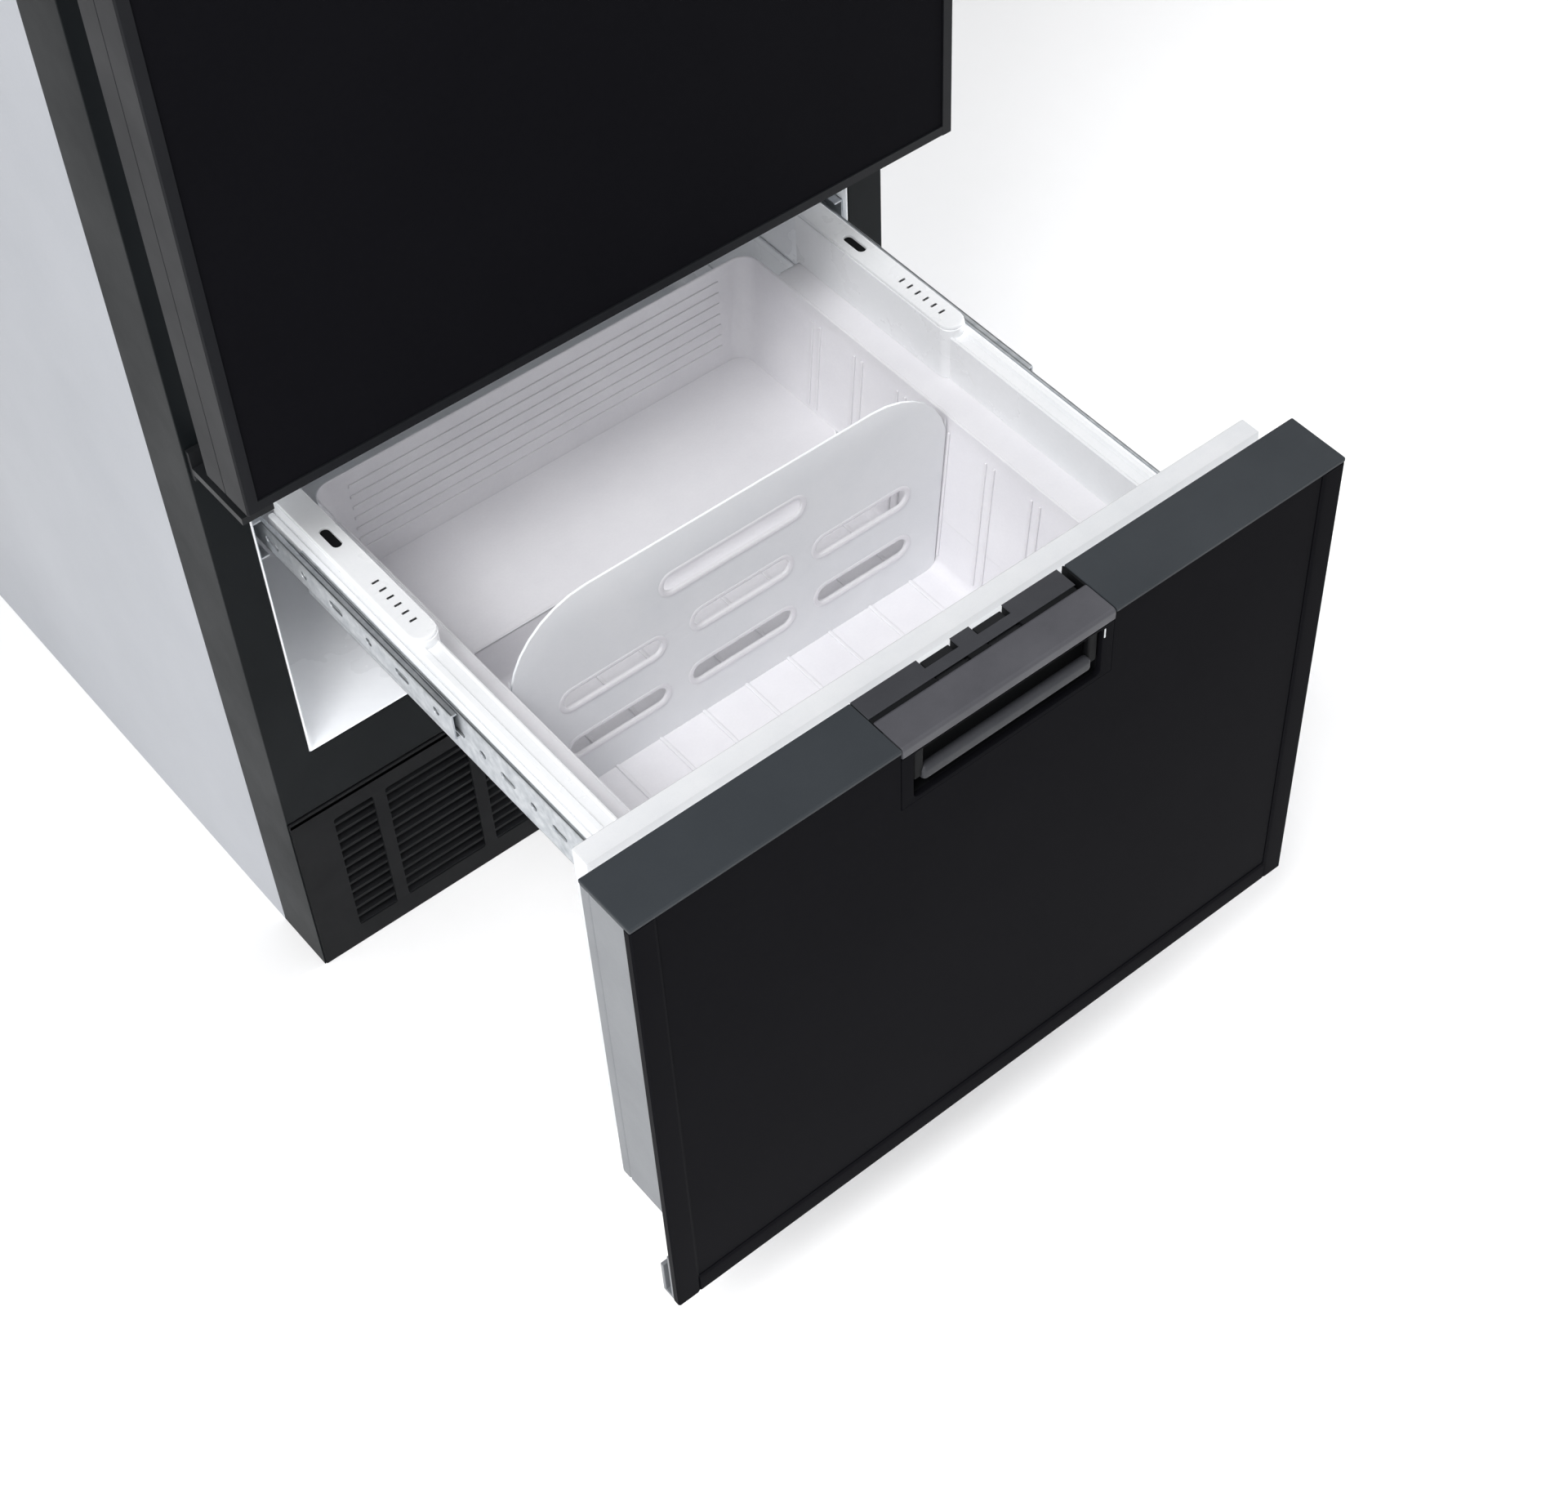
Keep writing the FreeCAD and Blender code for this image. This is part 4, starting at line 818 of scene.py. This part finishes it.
def drawer_fittings():
    """The cap's two halves beside the latch, brackets at the lower corners and the seal."""
    low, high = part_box("drawer_cap")
    case_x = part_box("drawer_latch_housing")[1].x
    hook_low, hook_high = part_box("drawer_hooks")
    section = rectangle(low.y, high.y, low.z, high.z, 1.3 * MM)
    folded = [(0, 0), (12, 0), (12, 36), (9, 36), (9, 3), (2.5, 3), (2.5, 58), (0, 58)]
    profile = [(hook_low.y + a * MM, hook_low.z + b * MM) for a, b in folded]
    cap, hooks = bmesh.new(), bmesh.new()
    for _, side in SIDES:
        x0, x1 = sorted((side * (case_x + 0.4 * MM), side * high.x))
        bar(cap, section, "x", x0, x1, 1 * MM)
        x0, x1 = sorted((side * (hook_high.x - 14 * MM), side * hook_high.x))
        bar(hooks, profile, "x", x0, x1, 0.6 * MM)
    piece("drawer_top_cap", cap, CHARCOAL_ABS, DRAWER, "drawer_cap")
    piece("drawer_corner_brackets", hooks, GREY_STYRENE, DRAWER, "drawer_hooks")
    seal("drawer_seal_bellows", "drawer_gasket", DRAWER)


# -------------------- runners

def slide_member(name, node, side, body, holes):
    """A galvanised channel: a punched web with two rolled lips."""
    low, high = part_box(node)
    near, far = sorted((abs(low.x), abs(high.x)))
    sheet = min(1.6 * MM, (far - near) / 2)
    mesh = bmesh.new()
    middle = (low.z + high.z) / 2
    rings = [rectangle(low.y, high.y, low.z, high.z, 1 * MM)]
    pitch = (high.y - low.y) / holes
    for number in range(holes):
        y = low.y + pitch * (number + 0.5)
        long = (16 if number % 2 else 7) * MM
        rings.append(rectangle(y - long / 2, y + long / 2, middle - 3 * MM, middle + 3 * MM,
                               2.9 * MM))
    web = sorted((side * far, side * (far - sheet)))
    plate(mesh, rings, "x", *web, sheet / 4)
    lip = sorted((side * far, side * near))
    for z in (low.z, high.z - sheet):
        block(mesh, (lip[0], low.y, z), (lip[1], high.y, z + sheet), sheet / 3, "y")
    piece(name, mesh, GALVANISED, body, node)


def runners():
    """On each side three nested slides, the white arm and its cover."""
    members = (("outer", CABINET, 10), ("middle", "slide_middles", 10), ("inner", DRAWER, 14))
    for label, side in SIDES:
        for member, body, holes in members:
            slide_member(f"{member}_channel_{label}", f"slide_{member}_{label}", side, body, holes)

        arm_low, arm_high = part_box(f"drawer_arm_{label}")
        ell = [(206, 444), (247.5, 444), (249, 445.5), (249, 485), (248, 486), (245, 486),
               (244, 485), (244, 447), (206, 447)]
        arm = bmesh.new()
        profile = mirrored([(u * MM, v * MM) for u, v in ell], side)
        bar(arm, profile, "y", arm_low.y, arm_high.y, 0.5 * MM)
        piece(f"runner_arm_{label}", arm, WHITE_ABS, DRAWER, f"drawer_arm_{label}")
        runner_cover(label, side)


def runner_cover(label, side):
    """The white moulding over each runner: broad at the cabinet end, narrow at the front."""
    low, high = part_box(f"rail_cover_{label}")
    inner, outer = 222 * MM, 244 * MM
    nose_y, radius = -469 * MM, 11 * MM
    centre = (inner + outer) / 2
    plan = [(outer, high.y - 2 * MM), (outer - 2 * MM, high.y), (inner + 2 * MM, high.y),
            (inner, high.y - 2 * MM)]
    for step in range(9):
        turn = math.pi + math.pi * step / 8
        plan.append((centre + radius * math.cos(turn), nose_y + radius + radius * math.sin(turn)))
    cover = bmesh.new()
    slot_low, slot_high = -360 * MM, -338 * MM
    slot = rectangle(centre - 3.6 * MM, centre + 3.6 * MM, slot_low, slot_high, 3.5 * MM)
    top = high.z
    bar(cover, mirrored(plan, side), "z", low.z, top - 3 * MM, 0.4 * MM, 1)
    rings = [mirrored(grow(plan, -0.6 * MM), side), mirrored(slot, side)]
    plate(cover, rings, "z", top - 3.4 * MM, top, 1.2 * MM)
    narrow = [(226, low.z / MM), (244, low.z / MM), (244, 490), (242, 492), (238, 492),
              (236.5, 489.5), (229, 489.5), (227.5, 491), (226, 490)]
    profile = mirrored([(u * MM, v * MM) for u, v in narrow], side)
    bar(cover, profile, "y", low.y, nose_y + radius, 0.5 * MM)
    mark_x0, mark_x1 = sorted((side * (centre - 3 * MM), side * (centre + 3 * MM)))
    for number in range(6):
        y = -450 * MM + number * 9 * MM
        block(cover, (mark_x0, y, top - 0.6 * MM), (mark_x1, y + 2.4 * MM, top), 0.25 * MM)
    piece(f"runner_cover_{label}", cover, WHITE_ABS, DRAWER, f"rail_cover_{label}")
    # A thin dark plate at the slot's floor: painted shade at the bottom of the slot.
    dark = bmesh.new()
    hollow = mirrored(grow(slot, 0.6 * MM), side)
    bar(dark, hollow, "z", top - 3.3 * MM, top - 2.4 * MM, 0.1 * MM, 1)
    piece(f"runner_slot_shade_{label}", dark, PAINTED_RECESS_SHADE, DRAWER)


# -------------------- basket and divider

def basket():
    """One moulding: tall front well, shallow rear shelf, ribbed walls and a wide rim."""
    low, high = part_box("basket")
    wall, outer_x, lean = 2 * MM, 201 * MM, 13 * MM
    front, back, rim_back = low.y, -255 * MM, -294 * MM
    step_y, shelf, top = -380 * MM, 350 * MM, high.z

    def half(z):
        return outer_x - lean * (top - z) / (top - low.z)

    mesh = bmesh.new()
    edge = 0.6 * MM
    ring = [(0, shelf), (0, top - edge), (edge, top), (wall - edge, top), (wall, top - edge),
            (wall, shelf)]
    loft(mesh, [
        place(rectangle(inset - half(z), half(z) - inset, front + inset, back - inset,
                        16 * MM - inset, 6), "z", z)
        for inset, z in ring
    ], closed=True)
    brim = shelf + 0.5 * MM
    tub(mesh, (-half(brim), half(brim), front, step_y + wall), "z", low.z, brim, wall, 9 * MM,
        16 * MM, lean=half(brim) - half(low.z))
    rear = rectangle(0.5 * MM - half(shelf), half(shelf) - 0.5 * MM, step_y, back - 0.5 * MM,
                     14 * MM, 6)
    bar(mesh, rear, "z", shelf - wall, shelf, 0.8 * MM)
    hem = [(-1, -9), (1.4, -9), (1.4, -3), (41.4, -3), (42, -2.4), (42, -0.6), (41.4, 0), (0, 0),
           (-1, -1)]
    flange = [(outer_x + u * MM, top + v * MM) for u, v in hem]
    for _, side in SIDES:
        bar(mesh, mirrored(flange, side), "y", front + 12 * MM, rim_back, 0.6 * MM)
        for number in range(8):
            y = -700 * MM + number * 50 * MM
            foot, head = low.z + 14 * MM if y < step_y - 10 * MM else shelf + 4 * MM, top - 14 * MM
            rib = [(half(z) - wall + u, z)
                   for u, z in ((-1.4 * MM, foot), (0.6 * MM, foot), (0.6 * MM, head),
                                (-1.4 * MM, head))]
            for shift in (0, 9 * MM):
                bar(mesh, mirrored(rib, side), "y", y + shift, y + shift + 2.4 * MM, 0.7 * MM)
    for number in range(9):
        x = -160 * MM + number * 40 * MM
        block(mesh, (x - 1.5 * MM, front + 30 * MM, low.z + 1 * MM),
              (x + 1.5 * MM, step_y - 30 * MM, low.z + 3.4 * MM), 0.7 * MM, "y")
    for number in range(7):
        z = 368 * MM + number * 11 * MM
        block(mesh, (-170 * MM, back - 3 * MM, z), (170 * MM, back - 1.5 * MM, z + 3 * MM),
              0.6 * MM, "x")
    piece("freezer_basket", mesh, FROSTED_STYRENE, DRAWER, "basket")


def divider():
    """An arched plate with long grip slots, each edged by a moulded bead."""
    low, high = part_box("divider")
    round_top, half = 70 * MM, 8.5 * MM
    foot, waist = 184 * MM, 450 * MM
    arch = [(low.x, waist), (-foot, low.z), (foot, low.z), (high.x, waist)]
    for quarter, x in ((0, high.x - round_top), (1, low.x + round_top)):
        for step in range(9):
            turn = math.pi / 2 * (quarter + step / 8)
            arch.append((x + round_top * math.cos(turn),
                         high.z - round_top + round_top * math.sin(turn)))
    slots = [(-65, 60, 452), (-42, 46, 400), (-47, 46, 345)]
    slots += [(x0, x1, z) for x0, x1 in ((-157, -70), (70, 157)) for z in (397, 345)]
    holes = [
        rectangle(x0 * MM, x1 * MM, z * MM - half, z * MM + half, half - 0.2 * MM, 6)
        for x0, x1, z in slots
    ]
    mesh = bmesh.new()
    plate(mesh, [arch] + holes, "y", low.y + 0.6 * MM, high.y - 0.4 * MM, 0.6 * MM)
    piece("basket_divider", mesh, NATURAL_POLYPROPYLENE, DRAWER, "divider")
    beads = bmesh.new()
    for hole in holes:
        collar(beads, hole, "y", [
            (-0.6 * MM, high.y - 0.2 * MM), (-0.6 * MM, low.y + 0.8 * MM),
            (0.6 * MM, low.y), (3.2 * MM, low.y), (4.2 * MM, low.y + 0.8 * MM),
            (4.2 * MM, high.y - 0.2 * MM),
        ])
    piece("divider_slot_beads", beads, FROSTED_STYRENE, DRAWER)


# -------------------- carried-over nodes

def dress_nodes():
    """CAD nodes whose shape is right: a finish and a small edge radius."""
    finishes = {
        PAINTED_STEEL: ("side_panel_left", "side_panel_right", "top_panel"),
        GALVANISED: ("base_pan", "latch_keepers"),
        FOAM: ("cabinet_foam",),
        FIN_ALUMINIUM: ("condenser", "evaporator"),
        CAST_ALUMINIUM: ("ice_mould",),
        BLACK_ABS: ("fan_shroud", "condenser_fan", "evaporator_fan", "power_inlet"),
        WHITE_LINER: ("evaporator_cover",),
        WHITE_NYLON: ("water_valve", "ice_ejector"),
        WHITE_ABS: ("ice_gearcase",),
        CHROMED_WIRE: ("ice_bail_arm",),
        COPPER: ("refrigerant_lines",),
        HINGE_STEEL: ("hinge_top", "hinge_middle"),
    }
    for material, names in finishes.items():
        for name in names:
            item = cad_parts[name]
            item.data.materials.clear()
            item.data.materials.append(material)
            item.modifiers.new("join", "WELD").merge_threshold = 0.01 * MM
            edge = item.modifiers.new("edge radius", "BEVEL")
            edge.width, edge.segments = 0.35 * MM, 2
            edge.limit_method, edge.angle_limit = "ANGLE", math.radians(40)
            item.modifiers.new("even shading", "WEIGHTED_NORMAL")


# -------------------- studio

def studio_floor():
    """A round white floor, level with the feet."""
    disc = bmesh.new()
    loft(disc, [place(circle(0, 0, 9.0, 64), "z", at) for at in (-0.02, 0.0)])
    data = bpy.data.meshes.new("studio_floor")
    disc.to_mesh(data)
    disc.free()
    item = bpy.data.objects.new("studio_floor", data)
    item.data.materials.append(surface("matt_white_floor", ("#fbfbfb", "#f8f8f8"), (0.8, 0.9),
                                       drift=900, grain=40, depth=0.01))
    bpy.context.scene.collection.objects.link(item)


def studio_light():
    """An even white sky and five soft panels."""
    world = bpy.data.worlds.new("studio")
    world.use_nodes = True
    sky = world.node_tree.nodes["Background"]
    sky.inputs["Color"].default_value = colour("#fafafb")
    sky.inputs["Strength"].default_value = 0.68
    bpy.context.scene.world = world

    # Name, place, aim, width in metres, power in watts, spread in degrees.
    lamps = (
        ("key_panel", (-2.05, -1.75, 3.95), (0.05, -0.5, 0.5), 1.6, 104, 180),
        ("left_panel", (-2.1, -0.9, 2.5), (-0.3, -0.2, 0.9), 1.3, 14, 180),
        ("right_panel", (2.4, -0.6, 2.8), (0.0, -0.5, 0.5), 1.8, 14, 180),
        ("low_panel", (-1.5, -1.5, 0.45), (-0.2, -0.2, 0.25), 0.7, 6, 180),
        ("bounce_panel", (3.0, -0.75, 0.5), (-0.27, -0.28, 0.32), 0.7, 11, 60),
    )
    for name, place_at, aim, wide, power, spread in lamps:
        lamp = bpy.data.lights.new(name, "AREA")
        lamp.shape, lamp.size, lamp.energy = "SQUARE", wide, power
        lamp.spread = math.radians(spread)
        holder = bpy.data.objects.new(name, lamp)
        holder.location = place_at
        facing = Vector(aim) - Vector(place_at)
        holder.rotation_euler = facing.to_track_quat("-Z", "Y").to_euler()
        bpy.context.scene.collection.objects.link(holder)


def studio_camera():
    """A long lens from the left, above the open drawer."""
    lens = bpy.data.cameras.new("camera")
    lens.lens, lens.sensor_width = 65.5, 36.0
    lens.shift_x, lens.shift_y = -0.0857, 0.0074
    camera = bpy.data.objects.new("camera", lens)
    camera.location = (-0.8031, -1.6325, 1.9185)
    camera.rotation_euler = (math.pi / 2 - 0.8892, 0.0, -0.7081)
    bpy.context.scene.collection.objects.link(camera)
    bpy.context.scene.camera = camera
    bpy.context.scene.view_settings.view_transform = "Standard"


studio_floor()
studio_light()
studio_camera()
cabinet_front()
louvred_grille()
freezer_liner()
fridge_interior()
hinge_screws()
compressor()
rear_panel()
control_box()
refrigerator_door()
door_bins()
drawer_front()
drawer_body()
drawer_fittings()
latch("drawer", DRAWER, Matrix.Identity(4))
latch("door", DOOR, DOOR_LATCH_PLACE)
runners()
basket()
divider()
dress_nodes()
